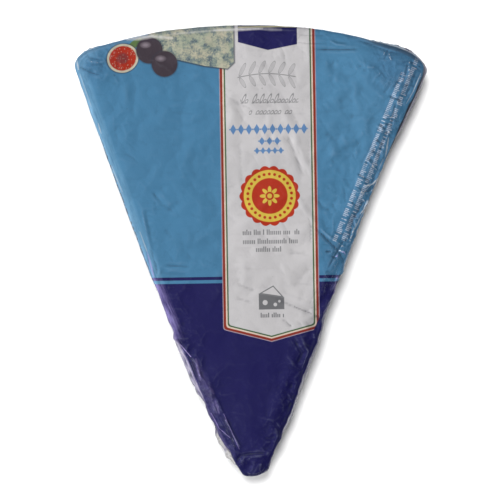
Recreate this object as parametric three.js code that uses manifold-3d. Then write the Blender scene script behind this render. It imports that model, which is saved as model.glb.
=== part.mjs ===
// A wedge of blue cheese, one eighth of a wheel cut to half its height, shut tight in a printed foil.
// The foil is drawn over the top face and down the three walls. What is left over at the nose and
// at the two back corners is pressed flat into ears against the walls, and the hems lie underneath.
// Millimetres, +Z up. The nose points along -Y and the rind side faces +Y. The origin is in the
// middle of the footprint, on the flat underside.
import * as THREE from "three";
import { mergeVertices } from "three/addons/utils/BufferGeometryUtils.js";
import Module from "manifold-3d";

// Driving dimensions of the outline, seen from above.
const LENGTH = 152; // from the nose to the middle of the rind side
const NOSE_RADIUS = 5.5;
const NOSE_OFFSET = 2; // to the right, from the middle of the rind's circle
const LEFT_ANGLE = THREE.MathUtils.degToRad(22.2); // between the left wall and the Y axis
const RIGHT_ANGLE = THREE.MathUtils.degToRad(21.5);
const LEFT_SWELL = 2.8; // the left wall swells outwards, most of all towards the nose
const LEFT_SWELL_AT = 0.3; // as a share of the wall's length, from the nose
const RIGHT_HOLLOW = 1.3; // the right wall is pressed in a little, nearer its back corner
const RIGHT_HOLLOW_AT = 0.74;
const RIND_RADIUS = 171;
const LEFT_CORNER_REACH = 7.5; // how far the rounding of the left back corner runs along each wall
const RIGHT_CORNER_REACH = 6.5; // the right one's reach along the right wall
const RIGHT_RIND_REACH = 11; // and its reach along the rind

// Driving dimensions of the height.
const HEIGHT = 86;
const TOP_EDGE_RADIUS = 2.4;
const BASE_EDGE_RADIUS = 2.4;
const CROWN = 1.4; // the top face rises this much from its edge to its middle
const RIDGE_FRONT = -51; // the middle of the top face is a level ridge between these places on Y
const RIDGE_BACK = 45;
const BELLY = 0.4; // the walls draw in this much from halfway up to their edges

// The foil's ears: flat folded triangles, wide at the bottom and running out at the top.
const EAR_THICKNESS = 0.9;
const EAR_HEM = 0.5; // thickness along the ear's free edge
const EAR_ROOT = 1.2; // how deep an ear reaches into the wall that carries it
const NOSE_EAR_LENGTH = 66;
const LEFT_EAR_LENGTH = 44;
const RIGHT_EAR_LENGTH = 37;
const EAR_TOP_GAP = 7; // from the top face down to the point of an ear
const EAR_FOOT = 3; // an ear ends this far above the underside
const EAR_TOE = 1; // height left at the far end of an ear
const EAR_FALL = 0.8; // under 1, the free edge of an ear falls faster next to its corner

// The foil's gathers: shallow flutes that run down each wall next to the corners.
const GATHER_DEPTH = 0.45;
const GATHER_PITCH = 13;
const GATHER_REACH = 26; // how far along a wall they fade to a third

// How finely each stretch is divided.
const NOSE_STEPS = 10;
const SIDE_STEPS = 36;
const CORNER_STEPS = 6;
const RIND_STEPS = 28;
const EDGE_STEPS = 4;
const WALL_STEPS = 9;
const CROWN_SHARES = [0.14, 0.34, 0.6]; // rings of the top face, as shares of the way to its ridge
const EAR_COLUMNS = 14;
const EAR_ROWS = 7;

// The point where a straight wall, extended from start along direction, meets the rind's circle.
function meetRind(start, direction, centre) {
  const from = start.clone().sub(centre);
  const along = from.dot(direction);
  const way = Math.sqrt(along * along - from.lengthSq() + RIND_RADIUS ** 2) - along;
  return start.clone().addScaledVector(direction, way);
}

// A wall seen from above, which stands out by bow from the straight line between its ends.
function bowedWall(start, end, bow, share) {
  const chord = end.clone().sub(start);
  const outward = new THREE.Vector2(chord.y, -chord.x).normalize();
  const pull = start.clone().addScaledVector(chord, share).addScaledVector(outward, 2 * bow);
  return new THREE.QuadraticBezierCurve(start, pull, end);
}

function noseTangent(centre, angle) {
  return new THREE.Vector2(Math.cos(angle), Math.sin(angle)).multiplyScalar(NOSE_RADIUS).add(centre);
}

// The stretches of the outline, anticlockwise from the left side of the nose.
function outlineStretches() {
  const noseCentre = new THREE.Vector2(NOSE_OFFSET, NOSE_RADIUS - LENGTH / 2);
  const rindCentre = new THREE.Vector2(0, LENGTH / 2 - RIND_RADIUS);
  const rightFoot = noseTangent(noseCentre, -RIGHT_ANGLE);
  const leftFoot = noseTangent(noseCentre, Math.PI + LEFT_ANGLE);
  const rightWay = new THREE.Vector2(Math.sin(RIGHT_ANGLE), Math.cos(RIGHT_ANGLE));
  const leftWay = new THREE.Vector2(-Math.sin(LEFT_ANGLE), Math.cos(LEFT_ANGLE));
  const rightCorner = meetRind(rightFoot, rightWay, rindCentre);
  const leftCorner = meetRind(leftFoot, leftWay, rindCentre);

  const rightEnd = rightCorner.clone().addScaledVector(rightWay, -RIGHT_CORNER_REACH);
  const leftEnd = leftCorner.clone().addScaledVector(leftWay, -LEFT_CORNER_REACH);
  const rightTurn = rightCorner.clone().sub(rindCentre).angle() + RIGHT_RIND_REACH / RIND_RADIUS;
  const leftTurn = leftCorner.clone().sub(rindCentre).angle() - LEFT_CORNER_REACH / RIND_RADIUS;
  const rind = new THREE.ArcCurve(rindCentre.x, rindCentre.y, RIND_RADIUS, rightTurn, leftTurn, false);

  return [
    {
      curve: new THREE.ArcCurve(
        noseCentre.x, noseCentre.y, NOSE_RADIUS, Math.PI + LEFT_ANGLE, 2 * Math.PI - RIGHT_ANGLE, false,
      ),
      steps: NOSE_STEPS,
    },
    { curve: bowedWall(rightFoot, rightEnd, -RIGHT_HOLLOW, RIGHT_HOLLOW_AT), steps: SIDE_STEPS },
    {
      curve: new THREE.QuadraticBezierCurve(rightEnd, rightCorner, rind.getPoint(0)),
      steps: CORNER_STEPS,
      corner: "right",
    },
    { curve: rind, steps: RIND_STEPS },
    {
      curve: new THREE.QuadraticBezierCurve(rind.getPoint(1), leftCorner, leftEnd),
      steps: CORNER_STEPS,
      corner: "left",
    },
    { curve: bowedWall(leftEnd, leftFoot, LEFT_SWELL, 1 - LEFT_SWELL_AT), steps: SIDE_STEPS },
  ];
}

// The outline as points, each with its outward direction and its distance round from the nose, and
// the distances at which the rounding of each back corner is halfway.
function makeOutline() {
  const points = [];
  const cornerIndex = {};
  for (const { curve, steps, corner } of outlineStretches()) {
    if (corner) cornerIndex[corner] = points.length + steps / 2;
    points.push(...curve.getSpacedPoints(steps).slice(0, -1));
  }
  let distance = 0;
  const stations = points.map((point, i) => {
    const before = points.at(i - 1);
    const after = points[(i + 1) % points.length];
    if (i > 0) distance += point.distanceTo(before);
    const outward = new THREE.Vector2(after.y - before.y, before.x - after.x).normalize();
    return { point, outward, distance };
  });
  return {
    stations,
    around: distance + points[0].distanceTo(points.at(-1)),
    leftCorner: stations[cornerIndex.left].distance,
    rightCorner: stations[cornerIndex.right].distance,
  };
}

// How far the wall stands out from the outline at a distance round it and a height. The belly is
// widest halfway up, where it meets the outline, and the gathers only cut into the wall.
function relief({ around, leftCorner, rightCorner }, distance, z) {
  const up = THREE.MathUtils.clamp(z / HEIGHT, 0, 1);
  const belly = BELLY * (Math.sin(Math.PI * up) - 1);
  const gathers = [0, leftCorner, rightCorner].map((corner) => {
    const way = Math.abs(distance - corner);
    const away = Math.min(way, around - way);
    return Math.exp(-away / GATHER_REACH) * (1 - Math.cos((2 * Math.PI * away) / GATHER_PITCH));
  });
  return belly - (GATHER_DEPTH / 2) * Math.sin(Math.PI * up) * Math.max(...gathers);
}

// A point on the wall at a distance round the outline and a height, moved out by proud.
function wallPoint(outline, distance, z, proud) {
  const { stations, around } = outline;
  const wanted = THREE.MathUtils.euclideanModulo(distance, around);
  const i = stations.findLastIndex((s) => s.distance <= wanted);
  const from = stations[i];
  const to = stations[(i + 1) % stations.length];
  const end = i + 1 < stations.length ? to.distance : around;
  const share = (wanted - from.distance) / (end - from.distance);
  const outward = from.outward.clone().lerp(to.outward, share).normalize();
  const out = relief(outline, wanted, z) + proud;
  const place = from.point.clone().lerp(to.point, share).addScaledVector(outward, out);
  return new THREE.Vector3(place.x, place.y, z);
}

// The heights and insets of the rings from the underside up to the rim of the top face.
function wallProfile() {
  const rings = [];
  for (let i = 0; i <= EDGE_STEPS; i++) {
    const turn = ((Math.PI / 2) * i) / EDGE_STEPS;
    rings.push({
      inset: BASE_EDGE_RADIUS * (1 - Math.sin(turn)),
      z: BASE_EDGE_RADIUS * (1 - Math.cos(turn)),
    });
  }
  const shoulder = HEIGHT - CROWN - TOP_EDGE_RADIUS;
  for (let i = 1; i < WALL_STEPS; i++) {
    rings.push({ inset: 0, z: THREE.MathUtils.lerp(BASE_EDGE_RADIUS, shoulder, i / WALL_STEPS) });
  }
  for (let i = 0; i <= EDGE_STEPS; i++) {
    const turn = ((Math.PI / 2) * i) / EDGE_STEPS;
    rings.push({
      inset: TOP_EDGE_RADIUS * (1 - Math.cos(turn)),
      z: shoulder + TOP_EDGE_RADIUS * Math.sin(turn),
    });
  }
  return rings;
}

// The nearest point of the ridge that runs down the middle of the top face.
function ridgePoint(place) {
  const front = new THREE.Vector3(NOSE_OFFSET, RIDGE_FRONT, place.z);
  const back = new THREE.Vector3(0, RIDGE_BACK, place.z);
  return new THREE.Line3(front, back).closestPointToPoint(place, true, new THREE.Vector3());
}

// Joins rings of equally many points by triangles that face outwards, for rings that run upwards.
function bridge(index, lower, upper, count) {
  for (let i = 0; i < count; i++) {
    const next = (i + 1) % count;
    index.push(lower + i, lower + next, upper + next, lower + i, upper + next, upper + i);
  }
}

// The wedge without its ears.
function wrappedBody(outline) {
  const { stations } = outline;
  const count = stations.length;
  const rings = wallProfile().map(({ inset, z }) =>
    stations.map(({ point, outward, distance }) => {
      const place = point.clone().addScaledVector(outward, relief(outline, distance, z) - inset);
      return new THREE.Vector3(place.x, place.y, z);
    }),
  );
  const rim = rings.at(-1);
  for (const share of CROWN_SHARES) {
    rings.push(
      rim.map((place) => {
        const inner = place.clone().lerp(ridgePoint(place), share);
        const rise = 1 - (1 - share / CROWN_SHARES.at(-1)) ** 2;
        return inner.setZ(HEIGHT - CROWN + CROWN * rise);
      }),
    );
  }

  const index = [];
  for (let ring = 0; ring + 1 < rings.length; ring++) bridge(index, ring * count, (ring + 1) * count, count);
  const cap = (ring, first, up) => {
    const flat = ring.map((p) => new THREE.Vector2(p.x, p.y));
    for (const [a, b, c] of THREE.ShapeUtils.triangulateShape(flat, [])) {
      index.push(first + a, first + (up ? b : c), first + (up ? c : b));
    }
  };
  cap(rings[0], 0, false);
  cap(rings.at(-1), (rings.length - 1) * count, true);
  return solidFrom(rings.flat(), index);
}

// An ear starts at a corner, runs along the wall for length, and narrows upwards to a point near
// the corner's top. way is 1 for anticlockwise seen from above and -1 for clockwise. Its sheet 0 is
// inside the wall and its sheet 1 outside.
function ear(outline, start, length, way) {
  const top = HEIGHT - CROWN - EAR_TOP_GAP;
  const points = [];
  for (const outer of [false, true]) {
    for (let column = 0; column <= EAR_COLUMNS; column++) {
      const share = column / EAR_COLUMNS;
      const high = THREE.MathUtils.lerp(top, EAR_FOOT + EAR_TOE, share ** EAR_FALL);
      const proud = outer ? THREE.MathUtils.lerp(EAR_THICKNESS, EAR_HEM, share) : -EAR_ROOT;
      for (let row = 0; row <= EAR_ROWS; row++) {
        const z = THREE.MathUtils.lerp(EAR_FOOT, high, row / EAR_ROWS);
        points.push(wallPoint(outline, start + way * length * share, z, proud));
      }
    }
  }

  const rowsUp = EAR_ROWS + 1;
  const sheetSize = (EAR_COLUMNS + 1) * rowsUp;
  const index = [];
  const quad = (a, b, c, d) => (way > 0 ? index.push(a, b, c, a, c, d) : index.push(a, c, b, a, d, c));
  const at = (sheet, column, row) => sheet * sheetSize + column * rowsUp + row;
  for (let column = 0; column < EAR_COLUMNS; column++) {
    for (let row = 0; row < EAR_ROWS; row++) {
      quad(at(1, column, row), at(1, column + 1, row), at(1, column + 1, row + 1), at(1, column, row + 1));
      quad(at(0, column, row), at(0, column, row + 1), at(0, column + 1, row + 1), at(0, column + 1, row));
    }
    quad(at(0, column, 0), at(0, column + 1, 0), at(1, column + 1, 0), at(1, column, 0));
    quad(
      at(1, column, EAR_ROWS), at(1, column + 1, EAR_ROWS), at(0, column + 1, EAR_ROWS), at(0, column, EAR_ROWS),
    );
  }
  for (let row = 0; row < EAR_ROWS; row++) {
    quad(at(0, 0, row), at(1, 0, row), at(1, 0, row + 1), at(0, 0, row + 1));
    quad(
      at(1, EAR_COLUMNS, row), at(0, EAR_COLUMNS, row),
      at(0, EAR_COLUMNS, row + 1), at(1, EAR_COLUMNS, row + 1),
    );
  }
  return solidFrom(points, index);
}

const wasm = await Module();
wasm.setup();

// A closed set of triangles as a solid that can be joined to others.
function solidFrom(points, index) {
  const loose = new THREE.BufferGeometry().setFromPoints(points).setIndex(index);
  const merged = mergeVertices(loose, 1e-4);
  return new wasm.Manifold(
    new wasm.Mesh({
      numProp: 3,
      vertProperties: merged.attributes.position.array,
      triVerts: new Uint32Array(merged.index.array),
    }),
  );
}

function geometryFrom(solid) {
  const { vertProperties, triVerts } = solid.getMesh();
  const geometry = new THREE.BufferGeometry();
  geometry.setAttribute("position", new THREE.BufferAttribute(new Float32Array(vertProperties), 3));
  geometry.setIndex(new THREE.BufferAttribute(triVerts, 1));
  geometry.computeVertexNormals();
  return geometry;
}

function foilWrappedWedge() {
  const outline = makeOutline();
  const ears = [
    ear(outline, 0, NOSE_EAR_LENGTH, -1),
    ear(outline, outline.rightCorner, RIGHT_EAR_LENGTH, 1),
    ear(outline, outline.leftCorner, LEFT_EAR_LENGTH, -1),
  ];
  const solid = ears.reduce((whole, piece) => whole.add(piece), wrappedBody(outline));
  const printedFoil = new THREE.MeshStandardMaterial({
    name: "printed_foil",
    color: 0x4b7da2,
    roughness: 0.38,
    metalness: 0.35,
  });
  const mesh = new THREE.Mesh(geometryFrom(solid), printedFoil);
  mesh.name = "foil_wrapped_wedge";
  const middle = new THREE.Box3().setFromObject(mesh).getCenter(new THREE.Vector3());
  mesh.position.set(-middle.x, -middle.y, 0);
  return mesh;
}

const wedge = new THREE.Group();
wedge.name = "cheese_wedge";
wedge.add(foilWrappedWedge());

export default wedge;
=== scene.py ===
"""A wedge of blue cheese, shut tight in a printed foil, lying on its flat side.

The foil is one dense skin over the top face and the three walls, with its ears folded against the
walls and its hems laid over each other underneath. Lengths are millimetres until a mesh is made.
x runs to the right, y towards the rind side and z up. The foil also has its own flat measure, as
if it were spread out again: across and upward, which agree with x and y on the top face. Round
the wedge, along is the distance round the outline from the nose, and below the depth over the
foil under the top edge, less than zero on the top face.
"""

import math

import bmesh
import bpy
import numpy as np
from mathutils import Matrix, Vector
from mathutils.geometry import delaunay_2d_cdt


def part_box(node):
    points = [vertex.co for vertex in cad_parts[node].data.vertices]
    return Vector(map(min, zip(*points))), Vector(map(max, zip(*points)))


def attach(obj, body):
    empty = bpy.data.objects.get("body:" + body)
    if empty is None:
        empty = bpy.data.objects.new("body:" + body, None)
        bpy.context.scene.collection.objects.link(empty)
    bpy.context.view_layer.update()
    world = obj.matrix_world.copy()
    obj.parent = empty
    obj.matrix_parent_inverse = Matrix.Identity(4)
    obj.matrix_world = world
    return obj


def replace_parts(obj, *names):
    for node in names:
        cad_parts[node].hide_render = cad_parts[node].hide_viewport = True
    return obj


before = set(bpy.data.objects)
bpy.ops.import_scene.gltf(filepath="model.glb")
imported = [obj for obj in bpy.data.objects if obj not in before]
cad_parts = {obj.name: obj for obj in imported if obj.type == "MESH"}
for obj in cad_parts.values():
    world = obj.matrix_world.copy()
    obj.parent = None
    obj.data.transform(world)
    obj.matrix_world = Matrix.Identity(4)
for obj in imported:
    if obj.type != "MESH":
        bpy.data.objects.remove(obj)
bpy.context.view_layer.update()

NODE = "foil_wrapped_wedge"
MM = 0.001

# ---- sizes of the wedge, millimetres
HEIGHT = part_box(NODE)[1][2] / MM
LENGTH = 152.0
NOSE_RADIUS = 5.5
NOSE_X = 2.0
LEFT_ANGLE = math.radians(22.2)
RIGHT_ANGLE = math.radians(21.5)
LEFT_SWELL = 2.8
LEFT_SWELL_AT = 0.3
RIGHT_HOLLOW = 1.3
RIGHT_HOLLOW_AT = 0.74
RIND_RADIUS = 171.0
LEFT_REACH = 7.5  # how far the rounding of a back corner runs along each wall
RIGHT_REACH = 6.5
RIGHT_RIND_REACH = 11.0
TOP_EDGE = 1.0  # radius of the top edge
BASE_EDGE = 2.4
CROWN = 1.4
CROWN_REACH = 22.0  # how far in from the edge the top face has risen by two thirds of its crown
DRAW_IN = 1.3  # the walls draw in this much at their foot
BASE_GAP = 0.8  # the hems lie in this gap between the skin's own underside and the ground
HEM_THICKNESS = 0.22
HEM_BARE = 2.6  # a hem's free edge isn't printed for this width
HEM_START = 0.8  # a hem starts this far before the end of the wall, over the foil

EAR_THICKNESS = 0.9
EAR_HEM = 0.5
EAR_TOP_GAP = 7.0
EAR_FOOT = 3.0
EAR_TOE = 1.0
EAR_FALL = 0.8
NOSE_EAR_LENGTH = 66.0
LEFT_EAR_LENGTH = 44.0
RIGHT_EAR_LENGTH = 37.0

STATION_PITCH = 0.6
WALL_PITCH = (0.62, 1.35)  # at the top and at the foot of a wall
BAND_PITCH = 0.46  # spacing of the top face's points next to its edge
MIDDLE_PITCH = 0.74
BAND = 10.0
TOP_EDGE_ROWS = 6
BASE_EDGE_ROWS = 5
WALL_PITCH_REACH = 45.0  # the rows of a wall get wider down to this depth
UNDERSIDE_SHARE = 0.97  # the size of the underside's plain ground over that of the skin's foot
UNDERSIDE_DEPTH = 3.0  # how far in its edge lies over the foil
EAR_GRID = (72, 64)
HEM_GRID = (90, 34)


# ---- the outline, seen from above
def curve_to(start, pull, end, count=400):
    """Points of a bent line from start towards pull and on to end."""
    t = np.linspace(0.0, 1.0, count)[:, None]
    return (1 - t) ** 2 * start + 2 * t * (1 - t) * pull + t**2 * end


def arc(centre, radius, start, end, count=400):
    turn = np.linspace(start, end, count)
    return np.array(centre) + radius * np.stack([np.cos(turn), np.sin(turn)], 1)


def meet_rind(start, way, centre):
    """Where a wall, extended from start, meets the rind's circle."""
    off = start - centre
    along = off @ way
    return start + way * (math.sqrt(along**2 - off @ off + RIND_RADIUS**2) - along)


def bowed_wall(start, end, bow, share):
    chord = end - start
    outward = np.array([chord[1], -chord[0]]) / np.linalg.norm(chord)
    return curve_to(start, start + share * chord + 2 * bow * outward, end)


def make_outline():
    """The outline's stations, evenly spaced and anticlockwise from the left side of the nose:
    their places, outward directions and distances round, and the distances of the corners."""
    nose = np.array([NOSE_X, NOSE_RADIUS - LENGTH / 2])
    rind = np.array([0.0, LENGTH / 2 - RIND_RADIUS])
    right_way = np.array([math.sin(RIGHT_ANGLE), math.cos(RIGHT_ANGLE)])
    left_way = np.array([-math.sin(LEFT_ANGLE), math.cos(LEFT_ANGLE)])
    tip = arc(nose, NOSE_RADIUS, math.pi + LEFT_ANGLE, 2 * math.pi - RIGHT_ANGLE)
    right_corner = meet_rind(tip[-1], right_way, rind)
    left_corner = meet_rind(tip[0], left_way, rind)
    right_end = right_corner - RIGHT_REACH * right_way
    left_end = left_corner - LEFT_REACH * left_way
    right_turn = math.atan2(*(right_corner - rind)[::-1]) + RIGHT_RIND_REACH / RIND_RADIUS
    left_turn = math.atan2(*(left_corner - rind)[::-1]) - LEFT_REACH / RIND_RADIUS
    back = arc(rind, RIND_RADIUS, right_turn, left_turn)
    stretches = [
        tip,
        bowed_wall(tip[-1], right_end, -RIGHT_HOLLOW, RIGHT_HOLLOW_AT),
        curve_to(right_end, right_corner, back[0]),
        back,
        curve_to(back[-1], left_corner, left_end),
        bowed_wall(left_end, tip[0], LEFT_SWELL, 1 - LEFT_SWELL_AT),
    ]
    line = np.concatenate([stretch[:-1] for stretch in stretches] + [tip[:1]])
    steps = np.linalg.norm(np.diff(line, axis=0), axis=1)
    travelled = np.concatenate([[0.0], np.cumsum(steps)])
    around = travelled[-1]
    ends = np.cumsum([np.linalg.norm(np.diff(s, axis=0), axis=1).sum() for s in stretches])
    count = int(round(around / STATION_PITCH))
    distance = np.arange(count) * around / count
    place = np.stack([np.interp(distance, travelled, line[:, k]) for k in (0, 1)], 1)
    place -= (place.min(0) + place.max(0)) / 2
    ahead = np.roll(place, -1, 0) - np.roll(place, 1, 0)
    outward = np.stack([ahead[:, 1], -ahead[:, 0]], 1)
    outward /= np.linalg.norm(outward, axis=1, keepdims=True)
    return {
        "place": place,
        "outward": outward,
        "distance": distance,
        "around": around,
        "tip": ends[0] / 2,
        "right": (ends[1] + ends[2]) / 2,
        "left": (ends[3] + ends[4]) / 2,
    }


OUTLINE = make_outline()
AROUND = OUTLINE["around"]
TIP, RIGHT, LEFT = OUTLINE["tip"], OUTLINE["right"], OUTLINE["left"]


def round_trip(values, distance):
    """Values kept per station, read at any distance round the outline."""
    stations = np.append(OUTLINE["distance"], AROUND)
    closed = np.concatenate([values, values[:1]])
    wanted = np.mod(distance, AROUND)
    return np.stack([np.interp(wanted, stations, closed[:, k]) for k in range(closed.shape[1])], -1)


def gap_between(distance, corner):
    """The shorter way round between places on the outline and a corner."""
    way = np.abs(np.mod(distance, AROUND) - corner)
    return np.minimum(way, AROUND - way)


# ---- soft swells and sharp crumples
TABLE = 64
ROOT3 = math.sqrt(3)
CREASE_SHARPNESS = 1.4
DINT_SHARPNESS = 1.2


def corner_heights(seed):
    return np.random.default_rng(seed).uniform(-1, 1, (TABLE, TABLE))


def swell(x, y, size, seed):
    """Soft hollows and swellings about size across, from -1 to 1."""
    heights = corner_heights(seed)
    i, j = np.floor(x / size).astype(int), np.floor(y / size).astype(int)
    p, q = x / size - i, y / size - j
    p, q = p * p * (3 - 2 * p), q * q * (3 - 2 * q)
    a = heights[i % TABLE, j % TABLE] * (1 - p) + heights[(i + 1) % TABLE, j % TABLE] * p
    b = heights[i % TABLE, (j + 1) % TABLE] * (1 - p)
    b = b + heights[(i + 1) % TABLE, (j + 1) % TABLE] * p
    return a * (1 - q) + b * q


def facets(x, y, size, seed):
    """Flat facets about size across that meet in sharp creases, from -1 to 1."""
    wander = 0.5 * size
    x, y = (
        x + wander * swell(x, y, 1.4 * size, seed + 1),
        y + wander * swell(x, y, 1.4 * size, seed + 2),
    )
    heights = corner_heights(seed)
    across, up = (x - y / ROOT3) / size, 2 * y / ROOT3 / size
    i, j = np.floor(across).astype(int), np.floor(up).astype(int)
    p, q = across - i, up - j
    first = heights[i % TABLE, j % TABLE]
    right = heights[(i + 1) % TABLE, j % TABLE]
    over = heights[i % TABLE, (j + 1) % TABLE]
    last = heights[(i + 1) % TABLE, (j + 1) % TABLE]
    lower = first + p * (right - first) + q * (over - first)
    upper = last + (1 - p) * (over - last) + (1 - q) * (right - last)
    return np.where(p + q < 1, lower, upper)


def crumples(x, y, *layers):
    """Layers of facets on each other, each given as its height, size and seed."""
    return sum(height * facets(x, y, size, seed) for height, size, seed in layers)


def ease(value, low, high):
    """0 below low, 1 above high and a smooth step between. low may be the greater."""
    t = np.clip((value - low) / (high - low), 0, 1)
    return t * t * (3 - 2 * t)


def stretch(value, start, full, fade, end):
    """1 from full to fade, with smooth steps up from start and down to end."""
    return ease(value, start, full) * ease(value, end, fade)


def from_line(x, y, path):
    """How far each point is from a bent line, and its share along it."""
    path = np.array(path, float)
    steps = np.diff(path, axis=0)
    lengths = np.linalg.norm(steps, axis=1)
    before = np.concatenate([[0.0], np.cumsum(lengths)])
    best, share = np.full(x.shape, np.inf), np.zeros(x.shape)
    for start, step, length, passed in zip(path, steps, lengths, before):
        dx, dy = x - start[0], y - start[1]
        t = np.clip((dx * step[0] + dy * step[1]) / length**2, 0, 1)
        away = np.hypot(dx - t * step[0], dy - t * step[1])
        nearer = away < best
        best = np.where(nearer, away, best)
        share = np.where(nearer, (passed + t * length) / before[-1], share)
    return best, share


def crease(x, y, path, width, height):
    """A sharp fold line: a ridge, or a groove with a height below zero. It runs out at its ends."""
    away, share = from_line(x, y, path)
    fade = ease(np.minimum(share, 1 - share), -0.02, 0.25)
    return height * np.clip(1 - away / width, 0, 1) ** CREASE_SHARPNESS * fade


# ---- the foil's own folds
# Folds of the top face that can be told apart: their line, half width and height.
TOP_FOLDS = [
    ([(-57.6, 62.1), (-53.6, 60.0), (-49.2, 58.8)], 1.1, -0.42),
    ([(-56.5, 66.0), (-53.0, 63.5), (-50.0, 64.0)], 1.2, 0.30),
    ([(-40.9, 57.5), (-41.8, 48.0)], 2.4, 0.16),
    ([(-38.2, 57.0), (-39.4, 45.0)], 2.2, -0.16),
    ([(21.8, 67.7), (30.2, 67.5), (37.5, 67.9)], 1.0, -0.42),
    ([(26.0, 71.0), (29.0, 69.4), (33.0, 69.0)], 0.9, 0.30),
    ([(35.4, 71.2), (40.4, 69.3), (46.4, 67.0), (52.5, 66.0)], 0.8, -0.70),
    ([(37.5, 72.0), (43.0, 70.2), (50.0, 68.0)], 1.0, 0.18),
    ([(53.4, 64.0), (56.0, 62.4), (58.4, 61.2)], 0.7, -0.60),
    ([(51.2, 61.4), (50.2, 57.6), (47.6, 54.4)], 0.8, -0.30),
    ([(-36.5, 15.0), (-33.2, -0.7), (-30.3, -5.5)], 1.1, 0.40),
    ([(-33.6, 1.5), (-31.6, -4.2), (-30.9, -8.8)], 0.9, -0.45),
    ([(-30.3, -5.5), (-30.9, -8.8), (-31.5, -12.0)], 1.0, 0.35),
    ([(-28.8, -4.6), (-19.4, -5.2)], 1.1, -0.26),
    ([(-28.6, -6.4), (-19.4, -7.0)], 1.2, 0.16),
    ([(-33.0, 20.4), (-29.2, 15.4), (-24.6, 12.6)], 1.1, -0.26),
    ([(-31.4, 21.0), (-27.6, 16.6), (-23.8, 14.4)], 1.3, 0.16),
    ([(21.0, 8.9), (23.5, 6.4), (25.8, 3.9), (28.9, 0.9), (30.6, -1.6), (32.4, -4.6)], 0.9, -0.60),
    ([(25.3, -0.1), (27.3, 0.0)], 0.6, -0.50),
    ([(27.2, -1.6), (29.2, -2.4)], 0.6, -0.45),
    ([(22.2, 17.4), (24.4, 14.8), (27.2, 13.4)], 1.1, -0.34),
    ([(22.8, 8.6), (27.0, 4.6), (33.0, 0.5)], 1.3, 0.42),
    ([(15.3, 19.0), (18.4, 13.6), (21.8, 8.5)], 1.5, 0.40),
    ([(12.0, 40.4), (15.0, 32.5), (18.0, 24.8)], 1.1, -0.34),
    ([(14.2, 40.8), (17.2, 33.0), (20.2, 26.0)], 1.2, 0.26),
    ([(18.9, 14.0), (20.4, 8.6), (20.2, 2.0)], 0.9, -0.28),
    ([(12.6, -0.7), (19.4, -0.3)], 1.5, -0.16),
    ([(-5.2, -15.4), (1.2, -17.3)], 1.3, -0.20),
    ([(-5.0, -10.6), (2.6, -13.6)], 1.3, -0.26),
    ([(7.6, -15.4), (14.0, -18.2), (22.6, -21.6)], 1.2, -0.36),
    ([(7.4, -13.6), (21.9, -18.9)], 1.4, 0.20),
    ([(10.6, -22.4), (14.3, -25.5)], 1.0, -0.26),
    ([(-6.1, -4.4), (3.2, -5.1)], 1.2, 0.12),
    ([(6.7, 54.1), (14.0, 42.0), (20.8, 27.3)], 2.6, 0.20),
    ([(9.5, 54.0), (17.0, 41.0), (21.8, 31.0)], 2.0, -0.16),
    ([(14.3, -28.6), (17.4, -34.2), (15.6, -38.5)], 1.1, -0.42),
    ([(16.5, -27.5), (19.5, -33.5), (16.8, -41.0)], 1.2, 0.34),
    ([(21.6, -21.0), (24.5, -24.0)], 1.0, -0.40),
    ([(-19.8, -35.3), (-17.9, -37.9), (-16.4, -43.0)], 1.0, 0.50),
    ([(-21.0, -33.0), (-19.0, -39.0), (-17.4, -44.0)], 0.9, -0.50),
    ([(-13.6, -45.9), (-12.4, -51.0), (-10.5, -55.8)], 1.0, 0.42),
    ([(-9.2, -54.6), (-6.0, -60.8), (-3.0, -66.4)], 0.8, 0.45),
    ([(-10.2, -55.4), (-7.2, -61.4), (-4.0, -67.2)], 0.9, -0.40),
    ([(-3.4, -68.4), (1.0, -67.7), (6.2, -67.5)], 0.8, -0.50),
    ([(58.2, 61.0), (55.8, 55.5), (53.6, 49.4)], 0.7, 0.50),
    ([(56.2, 62.0), (53.6, 55.0), (50.9, 49.4)], 0.8, -0.45),
    ([(49.0, 40.0), (47.2, 35.5), (45.9, 32.0)], 0.7, 0.50),
    ([(46.6, 42.0), (44.0, 35.0), (42.6, 30.0)], 0.8, -0.40),
    ([(43.2, 25.0), (41.4, 22.8), (37.6, 21.4)], 0.8, 0.60),
    ([(42.6, 22.6), (40.4, 20.6), (37.2, 19.4)], 0.8, -0.50),
    ([(40.2, 18.2), (38.8, 15.0), (36.6, 12.0)], 0.7, 0.60),
    ([(38.0, 17.6), (36.4, 13.8), (34.0, 9.6)], 0.8, -0.45),
    ([(35.8, 10.5), (34.0, 5.0), (31.8, 0.5)], 0.8, 0.45),
    ([(30.4, -6.5), (28.6, -10.0), (27.4, -14.0)], 0.7, 0.45),
    ([(27.2, -17.2), (25.6, -20.6), (25.0, -25.0)], 0.8, -0.45),
    ([(21.0, -27.0), (22.4, -31.0), (20.2, -35.4)], 0.8, 0.42),
    ([(12.4, -47.0), (14.6, -51.0), (12.6, -55.5)], 0.7, 0.40),
    ([(8.0, -57.0), (10.2, -61.0), (8.4, -65.0)], 0.8, -0.40),
    ([(-52.0, 70.0), (-44.0, 71.8), (-36.0, 72.6)], 0.8, -0.40),
    ([(30.0, 72.8), (38.0, 71.6), (46.0, 69.6)], 0.9, -0.50),
    ([(-1.0, 74.6), (8.0, 74.2), (17.0, 74.0)], 0.8, 0.36),
    ([(-2.0, -70.4), (0.5, -69.0), (4.0, -68.6)], 0.8, 0.16),
    ([(15.2, 72.8), (19.6, 72.4), (26.0, 72.3)], 0.9, -0.20),
    ([(14.8, 70.2), (19.6, 69.6), (26.4, 69.7)], 1.0, -0.16),
]
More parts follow.
